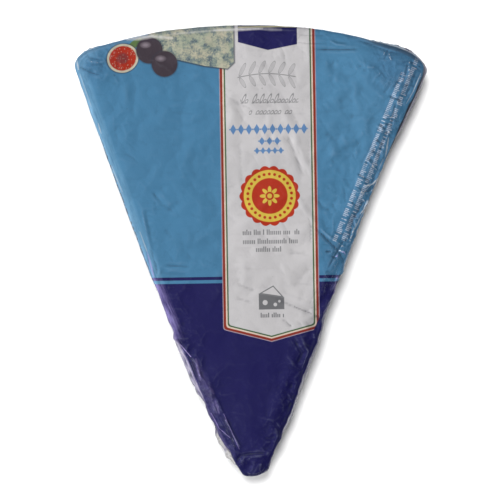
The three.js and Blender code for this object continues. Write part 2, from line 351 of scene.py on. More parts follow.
# Lines along folds painted silver, partly where the print has worn off and partly as painted highlights:
# both ends, half width and strength.
WORN_AND_HIGHLIGHT_LINES = [
    ((-23.6, -30.9), (-19.8, -35.3), 0.10, 0.90),
    ((-18.2, -36.2), (-16.6, -43.0), 0.50, 0.22),
    ((-13.6, -45.4), (-12.2, -47.6), 0.45, 0.14),
    ((-11.6, -50.2), (-10.4, -54.0), 0.50, 0.14),
    ((-12.9, -54.1), (-10.3, -59.3), 0.08, 0.55),
    ((-10.3, -59.3), (-6.7, -62.4), 0.08, 0.50),
    ((-8.8, -54.4), (-3.6, -66.2), 0.06, 0.50),
    ((42.9, 24.1), (39.9, 21.8), 0.10, 0.75),
    ((39.9, 21.8), (36.6, 18.0), 0.08, 0.55),
    ((39.3, 17.0), (37.6, 12.4), 0.22, 0.50),
    ((37.9, 13.2), (35.2, 7.6), 0.12, 0.55),
    ((37.0, 11.6), (34.4, 6.6), 0.06, 0.40),
    ((46.4, 38.0), (45.4, 31.6), 0.20, 0.50),
    ((57.2, 59.6), (54.6, 53.6), 0.10, 0.55),
    ((54.6, 53.6), (52.4, 49.6), 0.08, 0.40),
    ((44.6, 31.0), (43.2, 27.6), 0.12, 0.35),
    ((-18.4, -37.0), (-11.4, -54.0), 1.60, 0.06),
    ((-57.8, 63.8), (-57.4, 61.0), 0.20, 0.50),
    ((-57.0, 59.5), (-53.2, 48.6), 0.15, 0.30),
    ((-50.9, 42.9), (-49.9, 39.6), 0.14, 0.55),
    ((-46.4, 28.6), (-42.8, 20.0), 0.14, 0.40),
    ((-36.9, 6.6), (-34.0, -1.4), 0.14, 0.45),
    ((-34.2, -1.0), (-32.2, -8.4), 0.26, 0.55),
    ((-48.6, 70.2), (-38.5, 72.0), 0.14, 0.45),
    ((-41.0, 71.3), (-32.6, 72.2), 0.80, 0.70),
    ((-32.9, 72.0), (-26.1, 71.5), 0.55, 0.55),
    ((-26.4, 72.8), (-11.6, 74.1), 0.35, 0.30),
    ((-12.2, 74.1), (4.2, 74.7), 0.45, 0.70),
    ((3.6, 74.6), (10.4, 74.3), 0.50, 0.25),
    ((29.0, -8.8), (27.6, -17.6), 0.14, 0.40),
    ((28.0, -16.0), (24.6, -20.4), 0.10, 0.35),
]
# Small dints: place, radius and depth.
DINTS = [
    (36.9, 62.1, 1.5, 0.28), (34.2, 45.4, 1.3, 0.22), (27.5, 38.4, 1.1, 0.20),
    (32.2, 34.3, 1.6, 0.24), (19.3, -31.7, 1.2, 0.45), (13.7, -51.4, 1.3, 0.50),
    (26.7, -17.5, 1.2, 0.42), (-2.0, 50.5, 1.5, 0.14), (-20.0, 30.0, 2.4, 0.12),
]
PLAIN_GROUND = 400.0  # the print's grounds run on without pictures this far to the right
RIGHT_BAND = 8.5  # the foil is crumpled this far in from the right edge
RIGHT_SAG = 1.1  # the top face falls this much towards its right edge
SAG_REACH = 4.2
NOSE_SAG = 1.7
FLAP_SLOPE = 0.7  # beside the nose the left edge is folded down into a sloping flap
FLAP_ENDS = [3.0, 11.0, 23.6, 34.4, 44.0, 48.5]  # distances from the nose
FLAP_WIDTHS = [0.0, 2.6, 3.2, 1.3, 1.0, 0.0]
LEFT_CALM = 0.65  # how much of the folds' height is lost next to these edges
RIND_CALM = 0.5
CORNER_CALM = 0.25
WALL_FOLD_WIDTH = 0.7  # the folds of the walls are this share of their first width
WALL_RUB = 0.3  # how much the walls, ears and hems are rubbed


def stray_folds(seed, count, box, length, lean, width, height):
    """Light folds strewn over a box (left, right, low, high), which lean about one way."""
    rng = np.random.default_rng(seed)
    folds = []
    for _ in range(count):
        x, y = rng.uniform(box[0], box[1]), rng.uniform(box[2], box[3])
        turn = lean + rng.normal(0, 0.45)
        reach = rng.uniform(*length) / 2
        dx, dy = reach * math.cos(turn), reach * math.sin(turn)
        bend = rng.uniform(-0.18, 0.18) * reach
        path = [(x - dx, y - dy), (x - bend * math.sin(turn), y + bend * math.cos(turn)), (x + dx, y + dy)]
        folds.append((path, rng.uniform(*width), rng.uniform(*height) * rng.choice([-1, 1])))
    return folds


def right_band(round_at, rim):
    """1 along the crumpled right edge, fading inwards. rim is the distance in from the edge."""
    on_side = stretch(round_at, TIP + 4, TIP + 12, RIGHT + 2, RIGHT + 12)
    return on_side * ease(rim, RIGHT_BAND, 2.0)


def flap_width(round_at):
    return np.interp(AROUND - round_at, FLAP_ENDS, FLAP_WIDTHS, 0.0, 0.0)


def flap_side(round_at):
    """1 beside the middle of the flap, where the wall under it stands out and is painted with pale silver
    patches.
    """
    return stretch(round_at, AROUND - 54, AROUND - 45, AROUND - 29, AROUND - 22)


def pushed_side(round_at):
    """1 where the right wall is pushed out, towards the nose."""
    return stretch(round_at, TIP + 14, TIP + 26, TIP + 52, TIP + 66)


def sag(y, round_at, rim):
    """How far the top face falls towards its right edge, at the nose and over the left flap."""
    right = stretch(round_at, TIP + 6, TIP + 22, RIGHT + 30, RIGHT + 62)
    drop = RIGHT_SAG * right * ease(rim, SAG_REACH, -1.0) + NOSE_SAG * ease(y, -66.6, -74.5)
    return drop + FLAP_SLOPE * np.maximum(flap_width(round_at) - rim, 0.0)


def band_folds():
    """Short folds that cross the crumpled right edge, and longer ones that run along it."""
    rng = np.random.default_rng(43)
    ahead = np.array([math.sin(RIGHT_ANGLE), math.cos(RIGHT_ANGLE)])
    aside = np.array([ahead[1], -ahead[0]])
    start_at = TIP + 74.0
    folds = []
    for w in np.arange(8.0, 84.0, 2.3):
        w += rng.uniform(-0.8, 0.8)
        start = rng.uniform(0.0, 2.5)
        end = start + rng.uniform(2.5, 7.0)
        lean = math.radians(rng.normal(-24.0, 22.0))
        far = round_trip(OUTLINE["place"], start_at + w)
        way = np.array([math.cos(lean), math.sin(lean)])
        width, height = rng.uniform(0.5, 0.9), rng.uniform(0.22, 0.5)
        folds.append(([far - way * start, far - way * end], width, height * rng.choice([-1, -1, 1])))
    for w in np.arange(6.0, 92.0, 7.5):
        place = round_trip(OUTLINE["place"], start_at + w + rng.uniform(-2, 2))
        place -= aside * rng.uniform(1.2, 7.0)
        reach = ahead * rng.uniform(3.0, 7.0)
        turn = aside * rng.uniform(-1.0, 1.0)
        width, height = rng.uniform(0.6, 1.0), rng.uniform(0.2, 0.45)
        folds.append(([place - reach + turn, place + reach - turn], width, height * rng.choice([-1, 1])))
    return folds


def top_relief(x, y, round_at, rim):
    """How far the top face stands out of its smooth form. round_at is the nearest place round the
    outline and rim the distance to the edge. Next to the straighter parts of the edge the folds
    give way."""
    left_side = stretch(round_at, LEFT, LEFT + 8, AROUND - 8, AROUND)
    lower_left = left_side * ease(round_at, AROUND - 66, AROUND - 48) * ease(rim, 6.5, 1.0)
    low_right = ease(x, 5, 11) * ease(y, 0, -25) * ease(rim, 9.0, 3.0)
    right_field = ease(x, 22, 26) * ease(y, 2, 8) * ease(rim, 6, 10)
    corners = 0.3 * ease(np.hypot(x - 54, y - 64), 19, 6) + 0.7 * ease(np.hypot(x + 54, y - 63), 15, 5)
    nose = ease(y, -65, -69) * (0.35 + 0.65 * ease(rim, 0, 2))

    height = 0.30 * swell(x, y, 26, 11) + crumples(x, y, (0.20, 17, 21))
    small = crumples(x, y, (0.28, 6.4, 31), (0.16, 3.1, 36), (0.035, 1.6, 38))
    height += small * (1 - 0.55 * ease(y, -12, -18) * ease(rim, 5, 9))
    for share, *layers in (
        (right_field, (0.38, 5.2, 151), (0.19, 2.4, 161)),
        (right_band(round_at, rim), (0.30, 4.2, 41), (0.24, 1.9, 51)),
        (low_right, (0.30, 5.2, 61), (0.14, 2.4, 71)),
        (corners, (0.26, 5.0, 81), (0.20, 1.9, 91)),
        (nose, (0.55, 4.0, 101), (0.24, 2.0, 111)),
        (lower_left, (0.44, 4.4, 121), (0.28, 2.1, 131)),
        (ease(rim, 2.6, 0.2), (0.16, 2.8, 141)),
        (left_side * ease(rim, 9.0, 1.5), (0.20, 3.6, 146)),
    ):
        height += share * crumples(x, y, *layers)
    for fold in TOP_FOLDS + STRAY_FOLDS:
        height += crease(x, y, *fold)
    for dx, dy, radius, depth in DINTS:
        away = np.hypot(x - dx, y - dy)
        height -= depth * np.clip(1 - away / radius, 0, 1) ** DINT_SHARPNESS

    calm = LEFT_CALM * left_side * ease(round_at, AROUND - 60, AROUND - 70) * ease(rim, 5.0, 1.0)
    rind_edge = stretch(round_at, RIGHT - 42, RIGHT - 34, LEFT - 4, LEFT + 6) * ease(rim, 3.0, 0.5)
    at_corner = stretch(round_at, RIGHT - 6, RIGHT, RIGHT + 10, RIGHT + 18)
    return height * (1 - calm - rind_edge * (RIND_CALM + CORNER_CALM * at_corner))


STRAY_FOLDS = [
    *stray_folds(5, 26, (-9, 22, 6, 70), (5, 20), -1.05, (0.8, 2.2), (0.06, 0.18)),
    *stray_folds(12, 9, (-9, 20, -26, 4), (5, 14), -0.35, (0.9, 1.8), (0.05, 0.12)),
    *stray_folds(6, 60, (-48, -9, -8, 62), (2, 9), -1.2, (0.5, 1.3), (0.03, 0.09)),
    *stray_folds(7, 60, (22, 50, -2, 64), (2, 9), -1.0, (0.5, 1.3), (0.04, 0.14)),
    *stray_folds(8, 20, (-22, 14, -62, -12), (5, 18), -1.2, (0.9, 2.6), (0.03, 0.07)),
    *stray_folds(9, 12, (40, 57, 54, 72), (3, 7), 0.9, (0.6, 1.1), (0.10, 0.24)),
    *stray_folds(10, 14, (-57, -44, 55, 70), (3, 8), -0.5, (0.6, 1.2), (0.08, 0.22)),
    *stray_folds(11, 10, (-4, 7, -75, -68), (3, 7), 1.45, (0.7, 1.4), (0.10, 0.28)),
    *band_folds(),
]


def wall_fans():
    """Folds that fan out down the walls from the three corners, in distance round and depth, and
    stray ones between them."""
    rng = np.random.default_rng(17)
    folds = []
    for corner in (TIP, RIGHT, LEFT):
        for side in (-1, 1):
            for turn in np.linspace(0.10, 1.15, 7):
                turn += rng.uniform(-0.07, 0.07)
                start = rng.uniform(3.0, 9.0)
                end = rng.uniform(34.0, 84.0)
                bend = rng.uniform(-2.0, 2.0)
                spread = 0.8 * side * math.tan(turn)
                depths = (start, (start + end) / 2, end)
                path = [(corner + spread * d + bend * k, d) for k, d in zip((0, 1, 0), depths)]
                folds.append((path, rng.uniform(1.4, 2.8), rng.uniform(0.25, 0.6) * rng.choice([-1, 1])))
    for seed, count, lean in ((18, 60, 0.9), (19, 40, 2.2)):
        folds += stray_folds(seed, count, (0, AROUND, 12, 78), (6, 26), lean, (1.2, 3.0), (0.10, 0.30))
    return folds


WALL_FOLDS = wall_fans()


def wall_relief(along, depth):
    """How far a wall stands out of its smooth form, at a distance round and a depth below the top
    edge measured over the foil."""
    corner = sum(ease(gap_between(along, at), 22, 4) for at in (TIP, RIGHT, LEFT))
    calmer = 1 - 0.7 * stretch(along, TIP, TIP + 12, RIGHT + 8, RIGHT + 20) * ease(depth, 14, 5)
    height = 0.5 * swell(along, depth, 30, 211) + crumples(along, depth, (0.34, 15, 221))
    height += calmer * (0.18 + 0.14 * corner) * facets(along, depth, 6.5, 231)
    height += calmer * (0.06 + 0.08 * corner) * facets(along, depth, 2.8, 241)
    height += ease(depth, 8, 18) * crumples(along, depth, (0.20, 8.0, 271), (0.13, 3.4, 281))

    loose = stretch(along, RIGHT - 37, RIGHT - 24, RIGHT + 4, RIGHT + 16)
    bulge = 0.10 + 0.26 * ease(along, RIGHT + 2, RIGHT - 8)
    bulge += 0.25 * stretch(along, RIGHT - 34, RIGHT - 26, RIGHT - 16, RIGHT - 8)
    height += bulge * loose * stretch(depth, 1.5, 4.5, 12, 34)
    pushed, beside_flap = pushed_side(along), flap_side(along)
    height += 0.25 * pushed * stretch(depth, 1.5, 4.5, 14, 45)
    height -= 0.55 * (1 - loose) * (1 - pushed) * (1 - beside_flap) * ease(depth, 1.5, 7)
    height += 1.3 * beside_flap * ease(depth, 24, 10)
    flap = ease(along, AROUND - 66, AROUND - 52) * ease(depth, 26, 8)
    height += flap * (crumples(along, depth, (0.34, 4.4, 251), (0.24, 2.0, 261)) - 0.3)
    for path, width, rise in WALL_FOLDS:
        height += crease(along, depth, path, WALL_FOLD_WIDTH * width, rise)
    return height


# ---- the skin's smooth form
def wall_path():
    """The section of a wall from the top face's edge down to the underside: rows of depth over
    the foil, inset from the outline, height, and the lean of its normal from straight up."""
    quarter = math.pi / 2
    top, foot = HEIGHT - CROWN, BASE_GAP + BASE_EDGE
    rows = []
    for turn in np.linspace(0, quarter, TOP_EDGE_ROWS):
        inset, fall = TOP_EDGE * (1 - math.sin(turn)), TOP_EDGE * (1 - math.cos(turn))
        rows.append((TOP_EDGE * turn, inset, top - fall, turn))
    depth, _, z, _ = rows[-1]
    drop = z - foot
    while True:
        pitch = WALL_PITCH[0] + (WALL_PITCH[1] - WALL_PITCH[0]) * min(1.0, depth / WALL_PITCH_REACH)
        z, depth = z - pitch, depth + pitch
        if z < foot + pitch / 2:
            break
        rows.append((depth, DRAW_IN * ((top - TOP_EDGE - z) / drop) ** 2, z, quarter))
    for turn in np.linspace(0, quarter, BASE_EDGE_ROWS):
        inset, fall = DRAW_IN + BASE_EDGE * (1 - math.cos(turn)), BASE_EDGE * math.sin(turn)
        rows.append((depth + BASE_EDGE * turn, inset, foot - fall, quarter + turn))
    return np.array(rows)


WALL_ROWS = wall_path()


def wall_surface(along, depth):
    """The smooth wall at any distance round and depth: place, normal and flat measure."""
    inset, z, lean = (np.interp(depth, WALL_ROWS[:, 0], WALL_ROWS[:, k]) for k in (1, 2, 3))
    place, outward = round_trip(OUTLINE["place"], along), round_trip(OUTLINE["outward"], along)
    outward /= np.linalg.norm(outward, axis=-1, keepdims=True)
    flat = place + outward * (depth - TOP_EDGE)[..., None]
    place = place - outward * inset[..., None]
    normal = np.concatenate([outward * np.sin(lean)[..., None], np.cos(lean)[..., None]], -1)
    return np.concatenate([place, z[..., None]], -1), normal, flat


def joined_relief(flat, along, depth):
    """The relief of the edge and the walls: the top face's folds run on over the edge and give way
    to the wall's own."""
    over = ease(depth, 6.5, 1.5)
    edge = top_relief(flat[..., 0], flat[..., 1], along, np.zeros(along.shape))
    foot = ease(depth, WALL_ROWS[-1, 0] - 0.5, WALL_ROWS[-1, 0] - 9.0)
    tucked = 0.9 * ease(gap_between(along, TIP + 1.2), 5.5, 1.5)
    pushed = 0.55 * pushed_side(along) * ease(depth, 0.3, 1.5)
    return (edge * over + wall_relief(along, depth) * (1 - over) + pushed - tucked) * foot


def lowered(places, flat, along, depth):
    """Places of the edge and the walls, lowered where the top face sags towards them."""
    places = places.copy()
    places[..., 2] -= sag(flat[..., 1], along, np.zeros(along.shape)) * ease(depth, 16, 0)
    return places


def lattice(low, high, pitch):
    """Points of an even triangular lattice over a box."""
    rows = np.arange(low[1], high[1], pitch * ROOT3 / 2)
    columns = np.arange(low[0], high[0], pitch)
    x, y = np.meshgrid(columns, rows)
    x = x + (np.arange(len(rows)) % 2)[:, None] * pitch / 2
    return np.stack([x.ravel(), y.ravel()], 1)


def inside(points, ring):
    """True for the points inside a closed ring."""
    x, y = points[:, 0], points[:, 1]
    hits = np.zeros(len(points), bool)
    for (ax, ay), (bx, by) in zip(ring, np.roll(ring, -1, 0)):
        crosses = (ay > y) != (by > y)
        if ay != by:
            hits ^= crosses & (x < ax + (y - ay) * (bx - ax) / (by - ay))
    return hits


def nearest_station(points, ring):
    """The nearest place of a ring to each point, as an index, and its distance."""
    index, gap = np.zeros(len(points), int), np.zeros(len(points))
    for start in range(0, len(points), 2000):
        part = points[start : start + 2000]
        away = np.linalg.norm(part[:, None] - ring[None], axis=2)
        index[start : start + 2000] = away.argmin(1)
        gap[start : start + 2000] = away.min(1)
    return index, gap


def top_points(ring):
    """The points of the top face inside its edge, closer together next to it."""
    low, high = ring.min(0), ring.max(0)
    chosen = []
    for pitch, near, far in ((BAND_PITCH, 0.45 * BAND_PITCH, BAND), (MIDDLE_PITCH, BAND, np.inf)):
        points = lattice(low, high, pitch)
        points = points[inside(points, ring)]
        _, gap = nearest_station(points, ring)
        chosen.append(points[(gap > near) & (gap <= far)])
    return np.concatenate(chosen)


# ---- meshes
def rubbing_and_highlight(place, round_at, below):
    """How much the foil has been rubbed, from 0 to 1: most along the right edge and at corners.
    Over the flap and along its fold it stands for a painted highlight.
    """
    x, y = place[:, 0], place[:, 1]
    rim = np.maximum(-below, 0)
    on_top = ease(below, 16, 4)
    flap = flap_width(round_at)
    # A painted highlight over the flap and along its fold.
    flap_highlight = np.maximum(0.6 * (rim < flap), 0.95 * np.exp(-(((rim - flap) / 0.4) ** 2)))
    rub = np.maximum.reduce([
        0.9 * right_band(round_at, rim) * (0.35 + 0.65 * ease(y, -22, -8)),
        ease(np.hypot(x - 52, y - 64), 17, 7),
        0.8 * ease(np.hypot(x + 54, y - 63), 10, 3),
        0.75 * ease(y, -64, -71),
        0.55 * ease(rim, 2.2, 0.4),
        (flap > 0.3) * flap_highlight,
    ])
    return rub * on_top + WALL_RUB * (1 - on_top)


def edge_highlight_and_patches(round_at, below):
    """How much of the foil is painted silver, from 0 to 1: a little painted highlight along the rind
    edge and the left edge, more along the lower left edge by the flap, and patches down the wall
    beside the flap."""
    left = stretch(round_at, LEFT + 2, LEFT + 14, AROUND - 76, AROUND - 66)
    rind = stretch(round_at, LEFT - 62, LEFT - 40, LEFT - 2, LEFT + 6)
    low = stretch(round_at, AROUND - 76, AROUND - 66, AROUND - 9, AROUND - 4)
    # Painted highlight along the left edge, the rind edge and the lower left edge.
    upper = (0.04 * left + 0.042 * rind) * ease(below, -0.6, 0.2)
    edge = (upper + 0.08 * low * ease(below, 0.1, 0.7)) * ease(below, 2.2, 0.9)
    patchy = np.clip(0.62 + crumples(round_at, below, (0.9, 2.6, 311), (0.5, 6.0, 321)), 0, 1)
    beside = 0.62 * flap_side(round_at) * stretch(below, 0.2, 1.1, 3.5, 9.5)
    return np.maximum(edge, beside * (patchy + (1 - patchy) * ease(below, 3.0, 1.0)))


def bend_of(mesh):
    """How sharply a closed mesh bends at each vertex, above zero where it stands out."""
    sides, owners = np.empty(len(mesh.loops), int), np.empty(len(mesh.polygons), int)
    mesh.loops.foreach_get("edge_index", sides)
    mesh.polygons.foreach_get("loop_total", owners)
    owners = np.repeat(np.arange(len(owners)), owners)
    pairs = owners[np.argsort(sides, kind="stable")].reshape(-1, 2)
    normals, middles = np.empty((2, 3 * len(mesh.polygons)))
    mesh.polygons.foreach_get("normal", normals)
    mesh.polygons.foreach_get("center", middles)
    normals, middles = normals.reshape(-1, 3), middles.reshape(-1, 3) / MM
    turn = normals[pairs[:, 1]] - normals[pairs[:, 0]]
    step = middles[pairs[:, 1]] - middles[pairs[:, 0]]
    bend = (turn * step).sum(1) / (step * step).sum(1)
    ends = np.empty(2 * len(mesh.edges), int)
    mesh.edges.foreach_get("vertices", ends)
    total = np.bincount(ends, np.repeat(bend, 2), len(mesh.vertices))
    return total / np.maximum(np.bincount(ends, minlength=len(mesh.vertices)), 1)


def add_object(name, data):
    thing = bpy.data.objects.new(name, data)
    bpy.context.collection.objects.link(thing)
    return thing


def new_piece(name, smooth, creased, faces, extra, material):
    """A piece of foil in metres. smooth holds its places without folds and creased with them.
    extra holds its values kept per vertex."""
    mesh = bpy.data.meshes.new(name)
    mesh.from_pydata((smooth * MM).tolist(), [], faces)
    shaped = bmesh.new()
    shaped.from_mesh(mesh)
    bmesh.ops.recalc_face_normals(shaped, faces=shaped.faces)
    shaped.to_mesh(mesh)
    shaped.free()
    before = bend_of(mesh)
    mesh.vertices.foreach_set("co", (creased * MM).astype(np.float32).ravel())
    mesh.update()
    extra = {**extra, "fold": bend_of(mesh) - before}
    mesh.polygons.foreach_set("use_smooth", np.ones(len(mesh.polygons), bool))
    for key, values in extra.items():
        layer = mesh.attributes.new(key, "FLOAT", "POINT")
        layer.data.foreach_set("value", np.ascontiguousarray(values, np.float32))
    mesh.materials.append(material)
    piece = add_object(name, mesh)
    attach(piece, "root")
    return piece


def top_sheet(ring):
    """The flat points of the top face, those of its edge first, and the triangles between them."""
    count = len(ring)
    vertices = [Vector(p) for p in np.concatenate([ring, top_points(ring)])]
    edges = [(i, (i + 1) % count) for i in range(count)]
    found, _, triangles, *_ = delaunay_2d_cdt(vertices, edges, [], 1, 1e-5, False)
    flat = np.array([tuple(v) for v in found])
    triangles = np.array(triangles)
    return flat, triangles[inside(flat[triangles].mean(1), ring)].tolist()


def closed_under(walls, middle):
    """The rows of a wall and one more row, a little further in under the wedge."""
    return np.concatenate([walls, middle + (walls[-1:] - middle) * UNDERSIDE_SHARE])


def make_skin(material):
    """The foil over the top face, the edge and the walls, closed underneath. The last row of
    points is the plain ground of the underside, which has none of the top face's print."""
    along, depth = np.meshgrid(OUTLINE["distance"], WALL_ROWS[:, 0])
    smooth, normal, flat = wall_surface(along, depth)
    walls = smooth + normal * joined_relief(flat, along, depth)[..., None]
    smooth, walls = (lowered(sheet, flat, along, depth) for sheet in (smooth, walls))

    ring = flat[0]
    top_flat, triangles = top_sheet(ring)
    nearest, rim = nearest_station(top_flat, ring)
    round_at = OUTLINE["distance"][nearest]
    crown = CROWN * (1 - np.exp(-rim / CROWN_REACH))
    fall = sag(top_flat[:, 1], round_at, rim)
    top_smooth = np.column_stack([top_flat, HEIGHT - CROWN + crown - fall])
    top = top_smooth.copy()
    top[:, 2] += top_relief(top_flat[:, 0], top_flat[:, 1], round_at, rim)
    top[: len(ring)] = walls[0]

    middle = np.append(ring.mean(0), BASE_GAP)
    smooth, walls = closed_under(smooth, middle), closed_under(walls, middle)
    flat = np.concatenate([flat, flat[-1:] + [PLAIN_GROUND, 0]])
    along = np.vstack([along, along[-1:]])
    depth = np.vstack([depth, depth[-1:] + UNDERSIDE_DEPTH])
    below_top = len(top) + np.arange(along[1:].size).reshape(along[1:].shape)
    index = np.vstack([np.arange(len(ring)), below_top]).tolist()
    faces = [tuple(t) for t in triangles]
    for upper, lower in zip(index, index[1:]):
        faces += zip(upper, lower, lower[1:] + lower[:1], upper[1:] + upper[:1])
    faces.append(tuple(index[-1][::-1]))
    sheets = ((top_smooth, smooth), (top, walls))
    places = [np.concatenate([face, side[1:].reshape(-1, 3)]) for face, side in sheets]
    sheet = np.concatenate([top_flat, flat[1:].reshape(-1, 2)])
    round_at = np.concatenate([round_at, along[1:].ravel()])
    below = np.concatenate([-rim, depth[1:].ravel()])
    extra = {
        "across": sheet[:, 0],
        "upward": sheet[:, 1],
        "along": round_at,
        "below": below,
        "bare": edge_highlight_and_patches(round_at, below),
        "rub": rubbing_and_highlight(places[0], round_at, below),
    }
    return new_piece("foil_skin", *places, faces, extra, material)


def shell_faces(columns, rows):
    """The faces of a closed thin shell from two sheets of columns by rows points, one after the
    other."""
    size = columns * rows
    at = np.arange(2 * size).reshape(2, columns, rows)
    faces = []
    for sheet in at:
        corners = (sheet[:-1, :-1], sheet[1:, :-1], sheet[1:, 1:], sheet[:-1, 1:])
        faces += zip(*[c.ravel().tolist() for c in corners])
    around = [(c, 0) for c in range(columns)] + [(columns - 1, r) for r in range(1, rows)]
    around += [(c, rows - 1) for c in range(columns - 2, -1, -1)] + [(0, r) for r in range(rows - 2, 0, -1)]
    for (a, b), (c, d) in zip(around, around[1:] + around[:1]):
        faces.append(tuple(int(i) for i in (at[0, a, b], at[0, c, d], at[1, c, d], at[1, a, b])))
    return faces


def shares(columns, rows):
    """Shares from 0 to 1 over the columns and over the rows of a sheet."""
    return np.meshgrid(np.linspace(0, 1, columns), np.linspace(0, 1, rows), indexing="ij")


def new_shell(name, plain, creased, flat, values, material):
    """A thin closed piece of foil between two sheets of points. plain holds the sheets without
    folds and creased with them."""
    places = [np.concatenate([s.reshape(-1, 3) for s in sheets]) for sheets in (plain, creased)]
    values = {"across": flat[..., 0], "upward": flat[..., 1], **values}
    extra = {key: np.tile(np.ravel(each), 2) for key, each in values.items()}
    return new_piece(name, *places, shell_faces(*flat.shape[:2]), extra, material)


def make_ear(name, corner, length, way, seed, material, lip=0.0):
    """A folded triangle of foil against a wall. It starts at a corner, runs along the wall and
    falls from just below the corner's top to the wall's foot. way is 1 for anticlockwise. lip is
    how far its free edge curls out near the corner, which shows its bare inside."""
    share, up = shares(*EAR_GRID)
    run = share * length
    bottom = WALL_ROWS[-1, 0] - EAR_FOOT
    peak = EAR_TOP_GAP + TOP_EDGE
    edge = peak + (bottom - EAR_TOE - peak) * share**EAR_FALL
    edge = edge + 0.7 * swell(share * 9, share * 0 + seed, 1.3, seed) * np.sin(np.pi * share)
    depth = bottom + (edge - bottom) * up
    along = corner + way * run
    smooth, normal, flat = wall_surface(along, depth)
    wall = joined_relief(flat, along, depth)
    thick = (EAR_THICKNESS + (EAR_HEM - EAR_THICKNESS) * share) * ease(run, -1.0, 9.0)
    from_edge = (1 - up) * (bottom - edge)
    roll = 0.25 * np.exp(-((from_edge / 1.2) ** 2)) * ease(run, 1.0, 9.0)
    own = crumples(along, depth, (0.22, 7.0, seed + 1), (0.09, 2.8, seed + 2))
    for fold in ear_folds(corner, length, way, peak, bottom, seed):
        own = own + crease(along, depth, *fold)
    curl = stretch(run, 0.2, 2.0, 11.5, 16.0) * np.exp(-from_edge / 3.0)
    curl = curl * (0.72 + 0.35 * facets(along, along * 0, 2.4, seed + 3))
    lift = wall + thick + roll + own * ease(run, 0, 4) + lip * curl
    inner = np.minimum(wall - 0.3, lift - 0.35)
    plain = [smooth + normal * thick[..., None], smooth - 0.3 * normal]
    creased = [smooth + normal * lift[..., None], smooth + normal * inner[..., None]]
    mirrored = 2 * corner - along
    values = {
        "along": np.mod(mirrored, AROUND),
        "below": depth,
        "bare": np.clip(2.4 * min(lip, 1.0) * curl - 0.5, 0, 1),
        "rub": WALL_RUB + 0.6 * np.exp(-from_edge / 1.5),
    }
    return new_shell(name, plain, creased, wall_surface(mirrored, depth)[2], values, material)


def ear_folds(corner, length, way, peak, bottom, seed):
    """Folds that run down an ear from its point."""
    rng = np.random.default_rng(seed)
    folds = []
    for reach in (0.12, 0.3, 0.45, 0.62):
        reach = way * length * (reach + rng.uniform(-0.05, 0.05))
        path = [(corner + reach * share, peak + (bottom - peak) * share) for share in (0.15, 0.55, 0.98)]
        folds.append((path, rng.uniform(1.0, 2.2), rng.uniform(0.25, 0.5) * rng.choice([-1, 1])))
    return folds


def make_hem(name, first, last, reach, low, seed, material):
    """A flap of foil under the wedge: it runs in from the foot of one wall, between two distances
    round the outline, and ends in a bare strip. low is its height above the ground."""
    share, inwards = shares(*HEM_GRID)
    along = first + (last - first) * share
    foot = WALL_ROWS[-1, 0] - HEM_START
    smooth, *_ = wall_surface(along, np.full(along.shape, foot))
    outward = round_trip(OUTLINE["outward"], along)
    outward /= np.linalg.norm(outward, axis=-1, keepdims=True)
    to_end = np.minimum(share, 1 - share) * abs(last - first)
    deep = np.minimum(reach, 0.3 + 0.75 * to_end)
    deep = deep + 0.5 * swell(along, along * 0, 9, seed) * ease(deep, 2, 8)
    place = smooth[..., :2] - outward * (deep * inwards)[..., None]
    relief = crumples(place[..., 0], place[..., 1], (0.05, 6.0, seed))
    plain = [np.dstack([place, np.full(relief.shape, z)]) for z in (low + HEM_THICKNESS, low)]
    heights = (low + HEM_THICKNESS + relief, np.maximum(low + relief * 0.5, 0.0))
    creased = [np.dstack([place, z]) for z in heights]
    depth = foot + deep * inwards
    values = {
        "along": np.mod(along, AROUND),
        "below": depth,
        "bare": ease(deep * (1 - inwards), HEM_BARE + 0.3, HEM_BARE - 0.3),
        "rub": np.full(depth.shape, WALL_RUB),
    }
    return new_shell(name, plain, creased, wall_surface(along, depth)[2], values, material)


# ---- shader words
# The sockets of a Mix node, whose names repeat, and of an Attribute node, by their places.
MIX_MASK, MIX_UNDER, MIX_OVER, MIX_RESULT = 0, 6, 7, 2
ATTRIBUTE_NUMBER = 2


def worked(operation, swapped=False):
    """An operator of Value: it adds a Math node."""

    def act(self, *other):
        terms = (*other, self) if swapped else (self, *other)
        return self.finish.math(operation, *terms)

    return act


class Value:
    """What one socket gives. Sums, differences and comparisons of numbers add Math nodes."""

    def __init__(self, finish, socket):
        self.finish = finish
        self.socket = socket

    __add__ = __radd__ = worked("ADD")
    __sub__ = worked("SUBTRACT")
    __rsub__ = worked("SUBTRACT", swapped=True)
    __mul__ = __rmul__ = worked("MULTIPLY")
    __truediv__ = worked("DIVIDE")
    __rtruediv__ = worked("DIVIDE", swapped=True)
    __pow__ = worked("POWER")
    __abs__ = worked("ABSOLUTE")
    __lt__ = worked("LESS_THAN")
    __gt__ = worked("GREATER_THAN")

    def __neg__(self):
        return self * -1.0


def linear(red, green, blue):
    """A colour given from 0 to 255, as the light that it stands for."""
    parts = [c / 255 for c in (red, green, blue)]
    return (*[c / 12.92 if c <= 0.04045 else ((c + 0.055) / 1.055) ** 2.4 for c in parts], 1.0)


